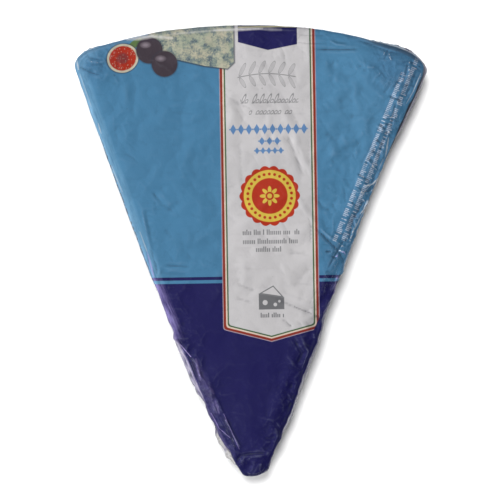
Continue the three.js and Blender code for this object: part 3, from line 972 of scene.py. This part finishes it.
class Finish:
    """The nodes of a material, or of the light from all round, under construction."""

    def __init__(self, owner):
        owner.use_nodes = True
        self.tree = owner.node_tree
        self.tree.nodes.clear()

    def add(self, kind, settings=None, sockets=None, output=0):
        """Adds a node: its settings first, then the values or links of its sockets."""
        node = self.tree.nodes.new("ShaderNode" + kind)
        for key, setting in (settings or {}).items():
            setattr(node, key, setting)
        for key, given in (sockets or {}).items():
            if isinstance(given, Value):
                self.tree.links.new(given.socket, node.inputs[key])
            else:
                node.inputs[key].default_value = given
        return Value(self, node.outputs[output]) if len(node.outputs) else None

    def math(self, operation, *terms):
        return self.add("Math", {"operation": operation}, dict(enumerate(terms)))

    def rise(self, value, slope, start=0.0):
        """A value times a slope plus a start, kept from 0 to 1 by a node of its own."""
        return self.add("Clamp", None, {0: self.math("MULTIPLY_ADD", value, slope, start)})

    def most(self, first, *others):
        """The greatest of some values."""
        for other in others:
            first = self.math("MAXIMUM", first, other)
        return first

    def mix(self, mask, under, over):
        """Paints over on under where mask is 1."""
        sockets = {MIX_MASK: mask, MIX_UNDER: under, MIX_OVER: over}
        return self.add("Mix", {"data_type": "RGBA"}, sockets, MIX_RESULT)

    def within(self, distance, soft=0.16):
        """1 where a distance is below zero, with a soft edge."""
        return self.rise(distance, -1.0 / soft, 0.5)

    def fill(self, distance, under, over, soft=0.16):
        """Paints over on under where a distance is below zero."""
        return self.mix(self.within(distance, soft), under, over)

    def band(self, value, low, high, soft=0.16):
        """1 between low and high."""
        middle, half = (low + high) / 2, (high - low) / 2
        return self.within(abs(value - middle) - half, soft)

    def disc(self, u, v, x, y, radius, squash=1.0, turn=0.0):
        """Distance outside a round or oval shape: squash is its height over its width."""
        du, dv = u - x, v - y
        if turn:
            du, dv = turned(du, dv, turn)
        if squash != 1.0:
            dv = dv / squash
        return (du * du + dv * dv) ** 0.5 - radius

    def stroke(self, u, v, start, end, half):
        """Distance outside a straight stroke, which thins towards its ends."""
        dx, dy = end[0] - start[0], end[1] - start[1]
        du, dv = u - start[0], v - start[1]
        size = dx * dx + dy * dy
        share = self.rise(du, dx / size, dv * (dy / size))
        across = self.math("MULTIPLY_ADD", share, -dx, du)
        up = self.math("MULTIPLY_ADD", share, -dy, dv)
        return (across * across + up * up) ** 0.5 + abs(share - 0.5) * half - half

    def polygon(self, u, v, corners):
        """Distance outside a convex shape, whose corners run anticlockwise."""
        sides = []
        for (ax, ay), (bx, by) in zip(corners, corners[1:] + corners[:1]):
            length = math.hypot(bx - ax, by - ay)
            nx, ny = (by - ay) / length, -(bx - ax) / length
            sides.append(u * nx + v * ny - (ax * nx + ay * ny))
        return self.most(*sides)

    def point(self, *parts):
        return self.add("CombineXYZ", None, dict(enumerate(parts)))

    def noise(self, place, scale, detail=2.0, rough=0.5):
        sockets = {"Vector": place, "Scale": scale, "Detail": detail, "Roughness": rough}
        return self.add("TexNoise", None, sockets)

    def bent(self, place, scale, detail, reach):
        """A place pushed about by noise, which bends what is laid on it."""
        push = self.add("TexNoise", None, {"Vector": place, "Scale": scale, "Detail": detail}, "Color")
        return self.add("VectorMath", {"operation": "MULTIPLY_ADD"}, {0: push, 1: reach, 2: place})

    def cells(self, place, scale, feature="F1"):
        """Distance from scattered points, or from the lines halfway between them."""
        return self.add("TexVoronoi", {"feature": feature}, {"Vector": place, "Scale": scale})

    def chance(self, seed_value):
        """An even random number from 0 to 1 for each whole number."""
        return self.add("TexWhiteNoise", {"noise_dimensions": "1D"}, {"W": seed_value})


# ---- the print, and the light and shade painted on the foil
LIGHT_BLUE = linear(54, 98, 128)
# The paler blue serves the upper right, and also the painted highlight band by the left edge; the edge blue
# is a painted shine.
PALE_BLUE_AND_HIGHLIGHT = linear(60, 104, 134)
EDGE_HIGHLIGHT_BLUE = linear(88, 131, 160)
NAVY = linear(16, 13, 63)
PANEL = linear(160, 158, 159)
KEYLINE = linear(134, 122, 132)
BORDER_RED = linear(109, 33, 19)
CREAM = linear(178, 162, 148)
BORDER_GREEN = linear(46, 74, 44)
GREY_INK = linear(88, 88, 90)
TAB_RULE = linear(146, 142, 112)
NAME_BLUE = linear(74, 106, 144)
SEAL_RED = linear(142, 36, 13)
SEAL_YELLOW = linear(173, 150, 56)
RIND_CREAM = linear(132, 138, 122)
VEIN_HALO = linear(102, 114, 100)
VEIN = linear(66, 84, 98)
DEEP_VEIN = linear(38, 50, 62)
DARK_FRUIT = linear(50, 42, 48)
FRUIT_BLOOM = linear(118, 108, 116)
CUT_RED = linear(134, 32, 11)
CUT_CREAM = linear(155, 150, 132)
LEAF_GREEN = linear(72, 92, 50)
# White of the small print, also painted highlight on ridges and fold crests.
WHITE_INK_AND_HIGHLIGHT = linear(174, 181, 194)
# Dark of the printed pictures' shadows, also painted shade in the foil's creases and along its edges.
SHADOW_PRINT_AND_PAINTED_SHADE = linear(38, 42, 52)
# Silver of bare foil, also painted highlight; the lilac one also paints highlights on the navy and the
# flap.
SILVER_WEAR_AND_HIGHLIGHT = linear(200, 198, 196)
LILAC_WEAR_AND_HIGHLIGHT = linear(172, 156, 214)
# A lilac painted sheen on the navy beside the left edge.
PAINTED_SHEEN_NAVY = linear(106, 97, 146)
# Painted deep shade where the right wall turns down beside the back corner.
PAINTED_DEEP_SHADE = linear(6, 5, 20)

PRINT_TURN = math.radians(0.93)  # the print lies on the wedge at a slight turn
PANEL_MIDDLE = 6.8
PANEL_HALF = 16.2
PANEL_POINT = -30.37
PANEL_TOP = 114.0  # its other end lies halfway down the rind wall
FOOT_FALL = 0.265  # slope of the panel's pointed foot
PANEL_SOFTNESS = 1.4  # rounds the two corners of its foot
BORDER_STEPS = [0.24, 1.04, 1.52, 2.00]  # keyline, red, cream and green end this far in
TAB = [(-2.9, 99.0), (-2.9, 70.2), (7.1, 67.4), (16.9, 69.2), (16.9, 99.0), (7.1, 101.5)]
TAB_RULE_AT = (75.0, 75.6)  # the pale rule across the tab
SEAL = (6.9, 18.5)
PRINT_PITCH = 0.62  # of the strokes of small print on the panel
NO_ENDS = (-1000.0, 1000.0)  # for rows that run on
CHEESE_PIECE = [
    (-31.0, 88.0), (-33.0, 69.0), (-29.5, 66.2), (-14.0, 62.4),
    (-6.6, 61.4), (-4.4, 63.4), (-4.4, 90.0), (-8.0, 93.5),
]
STRIP_TURN = math.radians(22.2)  # the small print beside the right edge runs along that edge
WALL_ROW = 2.8  # from one row of small print to the next, down the right wall
NAVY_END = -10.45  # the navy ground starts below this
NAVY_RULE = (-9.35, -8.3)
HIDING_FOLD = (0.905, -0.426, 30.3)  # a fold along this line hides the panel's lower right corner


def kept(finish, name):
    """A value that the mesh keeps per vertex."""
    return finish.add("Attribute", {"attribute_name": name}, output=ATTRIBUTE_NUMBER)


def turned(u, v, angle):
    """The measures u and v, seen from axes turned anticlockwise by an angle."""
    c, s = math.cos(angle), math.sin(angle)
    return u * c + v * s, v * c - u * s


def ground_fields(finish, u, v, along, below):
    """Light blue, paler at the upper right, a fine navy rule, and navy towards the nose. Beside the
    left edge: a paler painted highlight band and a streaky painted shine on the blue, and a lilac
    painted sheen on the navy."""
    upper_right = finish.within(finish.disc(u, v, 37.0, 50.0, 18.0, 1.25), 36.0)
    near = finish.within(below - 2.4, 2.4)
    # Painted highlight and painted sheen beside the left edge, where its rounding catches the light.
    left_edge_highlight = finish.within(-below - 3.5, 6.0) * finish.band(along, LEFT - 60, AROUND - 62, 8.0) * near
    colour = finish.mix(finish.most(upper_right, left_edge_highlight), LIGHT_BLUE, PALE_BLUE_AND_HIGHLIGHT)
    streak = finish.noise(finish.point(along * 0.16, below * 1.4), 1.0, 3.0, 0.6)
    painted_shine = finish.within(-below - 1.9, 1.8) * finish.band(along, LEFT - 6, AROUND - 62, 6.0) * near
    colour = finish.mix(painted_shine * finish.rise(streak, 2.6, -0.5), colour, EDGE_HIGHLIGHT_BLUE)
    painted_sheen = finish.within(-below - 1.3, 2.2) * finish.band(along, AROUND - 71, AROUND - 50, 8.0) * near
    navy = finish.mix(painted_sheen * finish.rise(streak, 3.4, -1.0), NAVY, PAINTED_SHEEN_NAVY)
    on_navy = finish.most(finish.within(v - NAVY_END), finish.band(v, *NAVY_RULE))
    return finish.mix(on_navy, colour, navy)


def words(finish, w, s, ends, low, high, pitch, seed, fullness=0.88):
    """A row of small print: thin upright strokes of uneven height, with gaps that make words."""
    place = w / pitch
    cell = finish.math("FLOOR", place)
    lot = finish.chance(cell + seed)
    stroke = finish.within(abs(place - cell - 0.5) * pitch - 0.29 * pitch, 0.14)
    half = (lot < 0.24) * (0.15 * (high - low)) + 0.35 * (high - low)
    body = finish.within(abs(s - low - half) - half, 0.14)
    return stroke * body * (lot < fullness) * finish.band(w, *ends, 0.1)


def cheese_picture(finish, u, v, spot, colour):
    """A cut piece of veined cheese, with a thin shadow under it."""
    away = finish.polygon(u, v, CHEESE_PIECE)
    colour = finish.mix(finish.within(away - 0.45, 0.5) * 0.8, colour, SHADOW_PRINT_AND_PAINTED_SHADE)
    small = finish.noise(spot, 1.5, 3.0, 0.6)
    marbling = finish.noise(spot, 0.30, 5.0, 0.66) * 0.7 + small * 0.3
    patches = finish.rise(finish.noise(spot, 0.17, 3.0, 0.6), 5.0, -2.0)
    face = finish.mix(patches, RIND_CREAM, CUT_CREAM)
    for start, strength, ink in ((0.43, 0.55, VEIN_HALO), (0.49, 0.75, VEIN), (0.56, 0.7, DEEP_VEIN)):
        face = finish.mix(finish.rise(marbling, 11.0, -11.0 * start) * strength, face, ink)
    face = finish.mix(finish.rise(small, 7.0, -4.2) * 0.4, face, CREAM)
    return finish.fill(away, colour, face)


def cut_fruit(finish, u, v, spot, x, y, radius, colour):
    """Half a round fruit: cream rim, red flesh and pale seeds."""
    away = finish.disc(u, v, x, y, radius, 0.9, 0.3)
    seeds = finish.cells(spot, 1.6)
    flesh = finish.mix(finish.within(seeds - 0.26, 0.2) * 0.5, CUT_RED, CUT_CREAM)
    flesh = finish.mix(finish.within(away + 0.62 * radius, 0.9) * 0.5, flesh, DARK_FRUIT)
    colour = finish.mix(finish.within(away - 0.35, 0.5) * 0.7, colour, SHADOW_PRINT_AND_PAINTED_SHADE)
    colour = finish.fill(away, colour, CUT_CREAM)
    return finish.fill(away + 0.75, colour, flesh, 0.35)


def grape(finish, u, v, x, y, radius, colour):
    """A dark round fruit with a soft light on its upper left."""
    away = finish.disc(u, v, x, y, radius)
    colour = finish.mix(finish.within(away - 0.3, 0.6) * 0.6, colour, SHADOW_PRINT_AND_PAINTED_SHADE)
    glow = finish.within(finish.disc(u, v, x - 0.3 * radius, y + 0.42 * radius, 0.3 * radius, 0.6), 1.6)
    skin = finish.mix(glow * 0.75, DARK_FRUIT, FRUIT_BLOOM)
    return finish.fill(away, colour, skin)


def food_picture(finish, u, v, spot, colour):
    colour = cheese_picture(finish, u, v, spot, colour)
    leaf = finish.disc(u, v, -37.0, 70.4, 2.9, 0.42, 0.5)
    colour = finish.fill(leaf, colour, LEAF_GREEN)
    colour = cut_fruit(finish, u, v, spot, -41.6, 65.4, 5.3, colour)
    colour = grape(finish, u, v, -32.6, 67.9, 4.4, colour)
    return grape(finish, u, v, -27.6, 63.3, 4.3, colour)


def panel_distance(finish, u, v):
    side = abs(u - PANEL_MIDDLE)
    foot = (side * FOOT_FALL - v + PANEL_POINT) / math.hypot(1, FOOT_FALL)
    return finish.math("SMOOTH_MAX", side - PANEL_HALF, finish.most(foot, v - PANEL_TOP), PANEL_SOFTNESS)


def panel(finish, u, v, colour):
    """The pale panel with its keyline and its red, cream and green border. A fold hides the
    outside of its lower right corner."""
    away = panel_distance(finish, u, v)
    ground = colour
    inks = [KEYLINE, BORDER_RED, CREAM, BORDER_GREEN, PANEL]
    for inset, ink in zip([0.0, *BORDER_STEPS], inks):
        colour = finish.fill(away + inset, colour, ink, 0.2)
    a, b, end = HIDING_FOLD
    return finish.fill(end - u * a - v * b, colour, ground, 0.3)


def sprig(finish, u, v, colour):
    """A drawn sprig: a thin stem with slender leaves above and below it."""
    pitch = 3.3
    up = v - (finish.math("SINE", (u + 3.0) / 6.0) * 1.1 + 58.4)
    ends = finish.band(u, -3.2, 16.3, 0.3)
    across = u - (finish.math("FLOOR", u / pitch) + 0.5) * pitch
    upper = finish.disc(across, up, 0.1, 2.3, 2.3, 0.30, math.radians(62))
    lower = finish.disc(across, up, 0.1, -2.1, 2.1, 0.30, math.radians(-62))
    leaf = finish.math("MINIMUM", upper, lower)
    drawn = finish.most(finish.band(leaf, -0.24, 0.0, 0.2), finish.within(leaf) * 0.3)
    stem = finish.within(abs(up) - 0.14, 0.2)
    return finish.mix(finish.most(drawn, stem) * ends * 0.8, colour, GREY_INK)


def flourish(finish, u, v, middle, ends, seed, colour):
    """A line of leaning pen loops, low and tall by turns, joined along their foot."""
    pitch = 1.22
    up = v - middle
    place = (u - up * 0.42) / pitch
    cell = finish.math("FLOOR", place)
    across = (place - cell - 0.5) * pitch
    lot = finish.chance(cell + seed)
    high = 0.62 + (lot > 0.78) * 0.85
    loop = finish.disc(across, (up - high) / (high * 2.1), 0.0, 0.0, 0.44)
    pen = finish.most(finish.within(abs(loop) - 0.10, 0.15), finish.band(up, -0.04, 0.14, 0.14) * 0.8)
    return finish.mix(pen * (lot > 0.10) * finish.band(u, *ends) * 0.85, colour, GREY_INK)


def lozenges(finish, u, v, left, count, pitch, middle, height, colour):
    """A row of upright lozenges with a small bead between each two."""
    place = (u - left) / pitch
    across = abs(place - finish.math("FLOOR", place) - 0.5) * pitch
    up = abs(v - middle)
    shape = across / (0.40 * pitch) + up / (0.5 * height) - 1.0
    bead = finish.most(0.5 * pitch - across, up) - 0.24
    mark = finish.most(finish.within(shape, 0.22), finish.within(bead, 0.2))
    ends = finish.band(u, left, left + count * pitch, 0.1)
    return finish.mix(mark * ends, colour, NAME_BLUE)


def seal(finish, u, v, colour):
    """A round seal: a red scalloped disc, a yellow ring with red beads, and a yellow flower."""
    du, dv = u - SEAL[0], v - SEAL[1]
    away = (du * du + dv * dv) ** 0.5
    turn = finish.math("ARCTAN2", dv, du)
    beads, ring = 26, 7.35
    cell = turn * (beads / math.tau) + beads
    across = (cell - finish.math("FLOOR", cell) - 0.5) * (ring * math.tau / beads)
    bead = (across * across + (away - ring) ** 2.0) ** 0.5
    scallop = abs(finish.math("COSINE", turn * 9.0)) * 0.75
    petals = abs(finish.math("COSINE", turn * 4.0)) * 2.1 + 1.2
    for distance, ink in (
        (away - 9.4 - scallop, SEAL_RED),
        (away - 8.7, SEAL_YELLOW),
        (bead - 0.5, SEAL_RED),
        (away - 6.0, SEAL_RED),
        (away - petals, SEAL_YELLOW),
        (abs(away - 1.1) - 0.3, SEAL_RED),
    ):
        colour = finish.fill(distance, colour, ink)
    return colour


def wedge_sign(finish, u, v, colour):
    """A small drawing of a piece of cheese: a dark side and a pale top."""
    side = finish.polygon(u, v, [(2.7, -19.5), (11.2, -19.5), (11.2, -15.6), (2.7, -14.2)])
    top = finish.polygon(u, v, [(2.7, -14.2), (11.2, -15.6), (7.6, -11.5)])
    colour = finish.fill(side, colour, GREY_INK)
    colour = finish.mix(finish.band(top, -0.35, 0.0), colour, GREY_INK)
    for x, y, radius in ((4.8, -17.2, 0.85), (8.2, -17.9, 0.6), (9.6, -16.8, 0.45)):
        colour = finish.fill(finish.disc(u, v, x, y, radius), colour, PANEL)
    return colour


def panel_print(finish, u, v, colour):
    tab = finish.within(finish.polygon(u, v, TAB))
    colour = finish.mix(tab, colour, NAVY)
    colour = finish.mix(tab * finish.band(v, *TAB_RULE_AT), colour, TAB_RULE)
    colour = sprig(finish, u, v, colour)
    for middle, ends, seed in ((49.7, (-2.4, 17.0), 600.5), (45.9, (0.4, 15.8), 700.5)):
        colour = flourish(finish, u, v, middle, ends, seed, colour)
    for row in ((-6.3, 10, 2.64, 40.9, 3.5), (3.3, 3, 2.56, 36.9, 2.7), (1.9, 5, 2.0, 33.7, 2.3)):
        colour = lozenges(finish, u, v, *row, colour)
    colour = seal(finish, u, v, colour)
    for i, (start, end, middle) in enumerate(((-2.9, 16.8, 6.3), (-2.3, 16.5, 3.3), (2.0, 10.7, 0.6))):
        row = words(finish, u, v, (start, end), middle - 0.8, middle + 1.0, PRINT_PITCH, 10.5 + 40 * i)
        colour = finish.mix(row * 0.9, colour, GREY_INK)
    colour = wedge_sign(finish, u, v, colour)
    caption = words(finish, u, v, (3.0, 11.0), -22.2, -20.6, PRINT_PITCH, 130.5, 0.95)
    return finish.mix(caption, colour, GREY_INK)


def small_print(finish, x, y, spot, along, below, colour):
    """Two rows of white small print beside the right edge, and more of them down that wall."""
    w, s = turned(x, y, math.pi / 2 - STRIP_TURN)
    inner = words(finish, w, -s, (13.2, 74.8), 24.2, 26.0, 0.60, 200.5)
    outer = words(finish, w, -s, (15.2, 81.3), 26.8, 28.6, 0.60, 300.5)
    on_top = finish.within(below - 2.0)
    faded = finish.rise(finish.noise(spot, 0.6, 3.0, 0.6), 3.2, -0.75)
    colour = finish.mix(finish.most(inner, outer) * on_top * faded * 0.72, colour, WHITE_INK_AND_HIGHLIGHT)
    row = finish.math("FLOOR", below / WALL_ROW)
    wall = words(finish, along + row * 17.0, below - row * WALL_ROW, NO_ENDS, 0.7, 1.9, 0.46, 400.5)
    printed = finish.band(below, 6 * WALL_ROW, 18 * WALL_ROW, 0.1)
    printed = printed * finish.band(along, TIP + 62, RIGHT - 12, 0.1)
    return finish.mix(wall * printed * 0.7, colour, WHITE_INK_AND_HIGHLIGHT)


def printed_colour(finish, x, y, along, below):
    """All inks of the foil over its flat measure, with the painted highlight and sheen beside the left
    edge.
    """
    u, v = turned(x, y, PRINT_TURN)
    spot = finish.point(u, v)
    wall_navy = finish.band(along, TIP, RIGHT, 0.4) * finish.within(2.6 - below, 0.2)
    colour = ground_fields(finish, u, v, along, below)
    colour = finish.mix(wall_navy, colour, NAVY)
    colour = small_print(finish, x, y, spot, along, below, colour)
    colour = panel(finish, u, v, colour)
    colour = panel_print(finish, u, v, colour)
    return food_picture(finish, u, v, spot, colour)


def crinkles(finish, place, scale, rub):
    """Sharp little facets: their height, and the painted shade lines where they meet in crumpled places."""
    bent = finish.bent(place, scale * 0.8, 1.0, (0.9 / scale,) * 3)
    gap = finish.cells(bent, scale, "DISTANCE_TO_EDGE")
    strength = finish.rise(rub * finish.noise(place, 260.0, 2.0, 0.5), 3.4, -0.9)
    return finish.cells(bent, scale), finish.within(gap - 0.035, 0.06) * strength


def streaks(finish, along, below, rub):
    """Fine folds that run beside an edge: painted highlight lines on their crests, painted shade lines
    in between, and their height."""
    way = finish.point(along * 0.22, below * 0.85)
    wave = finish.noise(finish.bent(way, 2.3, 2.0, (0.55, 0.55, 0.0)), 1.0, 3.0, 0.62)
    right = finish.band(along, TIP + 66.0, RIGHT - 10.0, 12.0)
    flap = finish.band(along, AROUND - 50.0, AROUND, 4.0)
    strength = finish.rise(rub * finish.noise(way, 0.9, 2.0, 0.6), 5.0, -1.2) * finish.most(right, flap)
    crest_highlight = finish.within(abs(wave - 0.53) - 0.006, 0.016) * strength
    dark = finish.within(abs(wave - 0.45) - 0.008, 0.020) * strength
    return crest_highlight, dark, wave


def worn_and_highlight_lines(finish, x, y):
    """How much silver is painted along single folds, from 0 to 1: worn print and painted highlight lines.
    """
    worn_and_highlight = 0.0
    for start, end, half, strength in WORN_AND_HIGHLIGHT_LINES:
        line = finish.within(finish.stroke(x, y, start, end, half), 0.16 + half)
        worn_and_highlight = finish.most(line * strength, worn_and_highlight)
    return worn_and_highlight


def specks(finish, place, scale):
    """Scattered dark pinpoints."""
    strewn = finish.rise(finish.noise(place, 60.0, 3.0, 0.6), 6.0, -2.9)
    return finish.within(finish.cells(place, scale) - 0.055, 0.05) * strewn


def painted_edge_shade(finish, along, below):
    """Painted shade: round the right back corner, in a dark band beside it where the right wall turns
    down into deep shade, and in a line down the left edge."""
    shade = finish.band(along, RIGHT - 2.0, RIGHT + 17.0, 4.0) * finish.band(below, -0.4, 4.0, 0.6)
    # Painted deep shade beside the right back corner; painted shade down the left edge.
    painted_wall_shade = finish.band(along, RIGHT - 35.0, RIGHT - 6.0, 10.0) * finish.band(below, 0.75, 3.9, 0.5)
    line = finish.band(along, LEFT + 30.0, AROUND - 72.0, 8.0) * finish.band(below, 0.62, 2.2, 0.25)
    return shade, painted_wall_shade, line


def printed_foil():
    """Printed and lacquered aluminium, rubbed bare along its sharpest folds, with painted shade in its
    creases and painted highlights on its crests and edges.
    """
    material = bpy.data.materials.new("printed_foil")
    finish = Finish(material)
    x, y, along, below, fold, rub, bare = (
        kept(finish, key) for key in ("across", "upward", "along", "below", "fold", "rub", "bare")
    )
    place = finish.add("TexCoord", output="Object")
    broad = finish.noise(place, 55.0, 3.0, 0.55)
    flecks = finish.noise(place, 900.0, 2.0, 0.6)
    ridge, groove = finish.rise(fold, 1.0), finish.rise(fold, -1.0)
    crinkle, crinkle_painted_shade = crinkles(finish, place, 420.0, rub)
    painted_crest_line, painted_trough_line, wave = streaks(finish, along, below, rub)
    speck = finish.most(specks(finish, place, 230.0), specks(finish, place, 520.0) * rub)
    corner_shade, painted_wall_shade, left_painted_shade = painted_edge_shade(finish, along, below)
    # Rubbed flecks on sharp folds, and a painted highlight line along the flap's fold.
    rubbed_and_ridge_highlight = finish.rise(rub * (flecks * 1.5 + ridge * 0.8), 4.0, -4.9)
    bare_worn_and_highlight = finish.most(bare, worn_and_highlight_lines(finish, x, y))
    worn_and_highlight = finish.most(rubbed_and_ridge_highlight * 0.7, bare_worn_and_highlight * (flecks * 0.9 + 0.55)) * (1 - corner_shade * 0.8)
    # Painted shade in grooves, on crinkle edges and between fine folds, with dark specks.
    dark = finish.most(groove * 0.62, crinkle_painted_shade * 0.16, speck * 0.5, painted_trough_line * 0.55)
    left_painted_shade = left_painted_shade * finish.within(0.45 - flecks, 0.1)
    # Silver for worn print and painted highlights: lilac towards the nose, silver on the upper half and
    # where bare.
    silver_and_sheen = finish.mix(finish.most(bare, finish.within(-y)), LILAC_WEAR_AND_HIGHLIGHT, SILVER_WEAR_AND_HIGHLIGHT)

    colour = printed_colour(finish, x, y, along, below)
    colour = finish.mix(broad * 0.16, colour, SHADOW_PRINT_AND_PAINTED_SHADE)
    colour = finish.mix(dark, colour, SHADOW_PRINT_AND_PAINTED_SHADE)
    # Painted highlight on ridges and on the crests of fine folds.
    colour = finish.mix(finish.most(ridge * 0.10, painted_crest_line * 0.22), colour, WHITE_INK_AND_HIGHLIGHT)
    colour = finish.mix(rub * broad * 0.5, colour, finish.mix(0.5, colour, NAVY))
    # Painted shade down the left edge and round the right back corner, painted deep shade beside that
    # corner, and silver for worn print and painted highlights.
    for mask, ink in (
        (left_painted_shade * 0.8, SHADOW_PRINT_AND_PAINTED_SHADE),
        (corner_shade * 0.6, SHADOW_PRINT_AND_PAINTED_SHADE),
        (painted_wall_shade * 0.92, PAINTED_DEEP_SHADE),
        (worn_and_highlight * 0.8, silver_and_sheen),
    ):
        colour = finish.mix(mask, colour, ink)

    grain = finish.noise(place, 1300.0, 2.0, 0.5)
    fine = finish.noise(place, 620.0, 3.0, 0.6)
    height = grain * 0.25 + crinkle * (rub * 1.8 + 0.10) + (fine * 2.2 + wave) * rub
    bump = finish.add("Bump", None, {"Strength": 0.30, "Distance": 0.0004, "Height": height})
    shader = finish.add("BsdfPrincipled", None, {
        "Base Color": colour,
        "Metallic": worn_and_highlight * 0.4 + 0.38 - painted_wall_shade * 0.38,
        "Roughness": broad * 0.10 + 0.34 + painted_wall_shade * 0.5,
        "Specular IOR Level": 0.16,
        "Normal": bump,
    })
    finish.add("OutputMaterial", None, {"Surface": shader})
    return material


# ---- studio
FLOOR_HALF = 3.0  # metres, as the rest of the studio
CAMERA_HEIGHT = 8.0
CAMERA_Y = 0.0005
FRAME_WIDTH = 0.1675  # what the picture spans at the height of the top face
SENSOR = 36.0


def make_floor():
    material = bpy.data.materials.new("pale_floor")
    finish = Finish(material)
    shade = finish.noise(finish.add("TexCoord", output="Object"), 3.0) * 0.02 + 0.76
    tint = finish.point(shade, shade, shade)
    sockets = {"Base Color": tint, "Roughness": 0.85, "Specular IOR Level": 0.2}
    finish.add("OutputMaterial", None, {"Surface": finish.add("BsdfPrincipled", None, sockets)})
    mesh = bpy.data.meshes.new("floor")
    corners = [(x * FLOOR_HALF, y * FLOOR_HALF, 0) for x, y in ((-1, -1), (1, -1), (1, 1), (-1, 1))]
    mesh.from_pydata(corners, [], [(0, 1, 2, 3)])
    mesh.materials.append(material)
    add_object("floor", mesh)


def make_camera():
    data = bpy.data.cameras.new("camera")
    data.sensor_width = SENSOR
    data.lens = SENSOR * (CAMERA_HEIGHT - HEIGHT * MM) / FRAME_WIDTH
    data.clip_end = 20.0
    camera = add_object("camera", data)
    camera.location = (0.0, CAMERA_Y, CAMERA_HEIGHT)
    bpy.context.scene.camera = camera


def place_light(name, kind, place, target, energy):
    lamp = bpy.data.lights.new(name, kind)
    lamp.energy = energy
    light = add_object(name, lamp)
    light.location = place
    light.rotation_euler = (Vector(target) - Vector(place)).to_track_quat("-Z", "Y").to_euler()
    return light


def make_lights():
    """A sun almost straight above, which doesn't show in the foil, and a weak soft lamp on the
    upper left."""
    key = place_light("key", "AREA", (-1.0, 0.55, 0.9), (0, 0, 0.05), 2.5)
    key.data.shape = "DISK"
    key.data.size = 0.7
    overhead = place_light("overhead", "SUN", (-0.0098, 0.047, 1.0), (0, 0, 0), 3.78)
    overhead.data.angle = math.radians(3.2)
    overhead.visible_glossy = False


def towards(finish, way, azimuth, elevation, far, near, outside, inside):
    """Goes from one strength to another between two angles from an axis."""
    turn, rise = math.radians(azimuth), math.radians(elevation)
    axis = (math.cos(turn) * math.cos(rise), math.sin(turn) * math.cos(rise), math.sin(rise))
    dot = finish.add("VectorMath", {"operation": "DOT_PRODUCT"}, {0: way, 1: axis}, "Value")
    return finish.add("MapRange", {"interpolation_type": "SMOOTHSTEP"}, {
        "Value": dot,
        "From Min": math.cos(math.radians(far)),
        "From Max": math.cos(math.radians(near)),
        "To Min": outside,
        "To Max": inside,
    })


def make_world():
    """Light from overhead, weaker towards the horizon and stronger on the left, and a lamp low on
    the left."""
    world = bpy.data.worlds.new("studio")
    finish = Finish(world)
    way = finish.add("TexCoord", output="Generated")
    sides = towards(finish, way, 158, 0, 118, 62, 0.56, 1.72)
    upper = towards(finish, way, 0, 90, 62, 24, 0.08, 1.0)
    lamp = towards(finish, way, 200, 27, 25, 7, 0.0, 5.0)
    sockets = {"Color": (1, 1, 1, 1), "Strength": sides * upper + lamp}
    finish.add("OutputWorld", None, {"Surface": finish.add("Background", None, sockets)})
    bpy.context.scene.world = world
    bpy.context.scene.view_settings.view_transform = "Standard"


foil = printed_foil()
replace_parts(make_skin(foil), NODE)
make_ear("nose_ear", 0.0, NOSE_EAR_LENGTH, -1, 301, foil, lip=1.9)
make_ear("right_ear", RIGHT, RIGHT_EAR_LENGTH, 1, 311, foil)
make_ear("left_ear", LEFT, LEFT_EAR_LENGTH, -1, 321, foil)
make_hem("rind_hem", RIGHT + 9, LEFT - 9, 38.0, 0.52, 331, foil)
make_hem("left_hem", LEFT + 9, AROUND - 6, 27.0, 0.26, 341, foil)
make_hem("right_hem", 12.0, RIGHT - 9, 27.0, 0.0, 351, foil)
make_floor()
make_camera()
make_lights()
make_world()
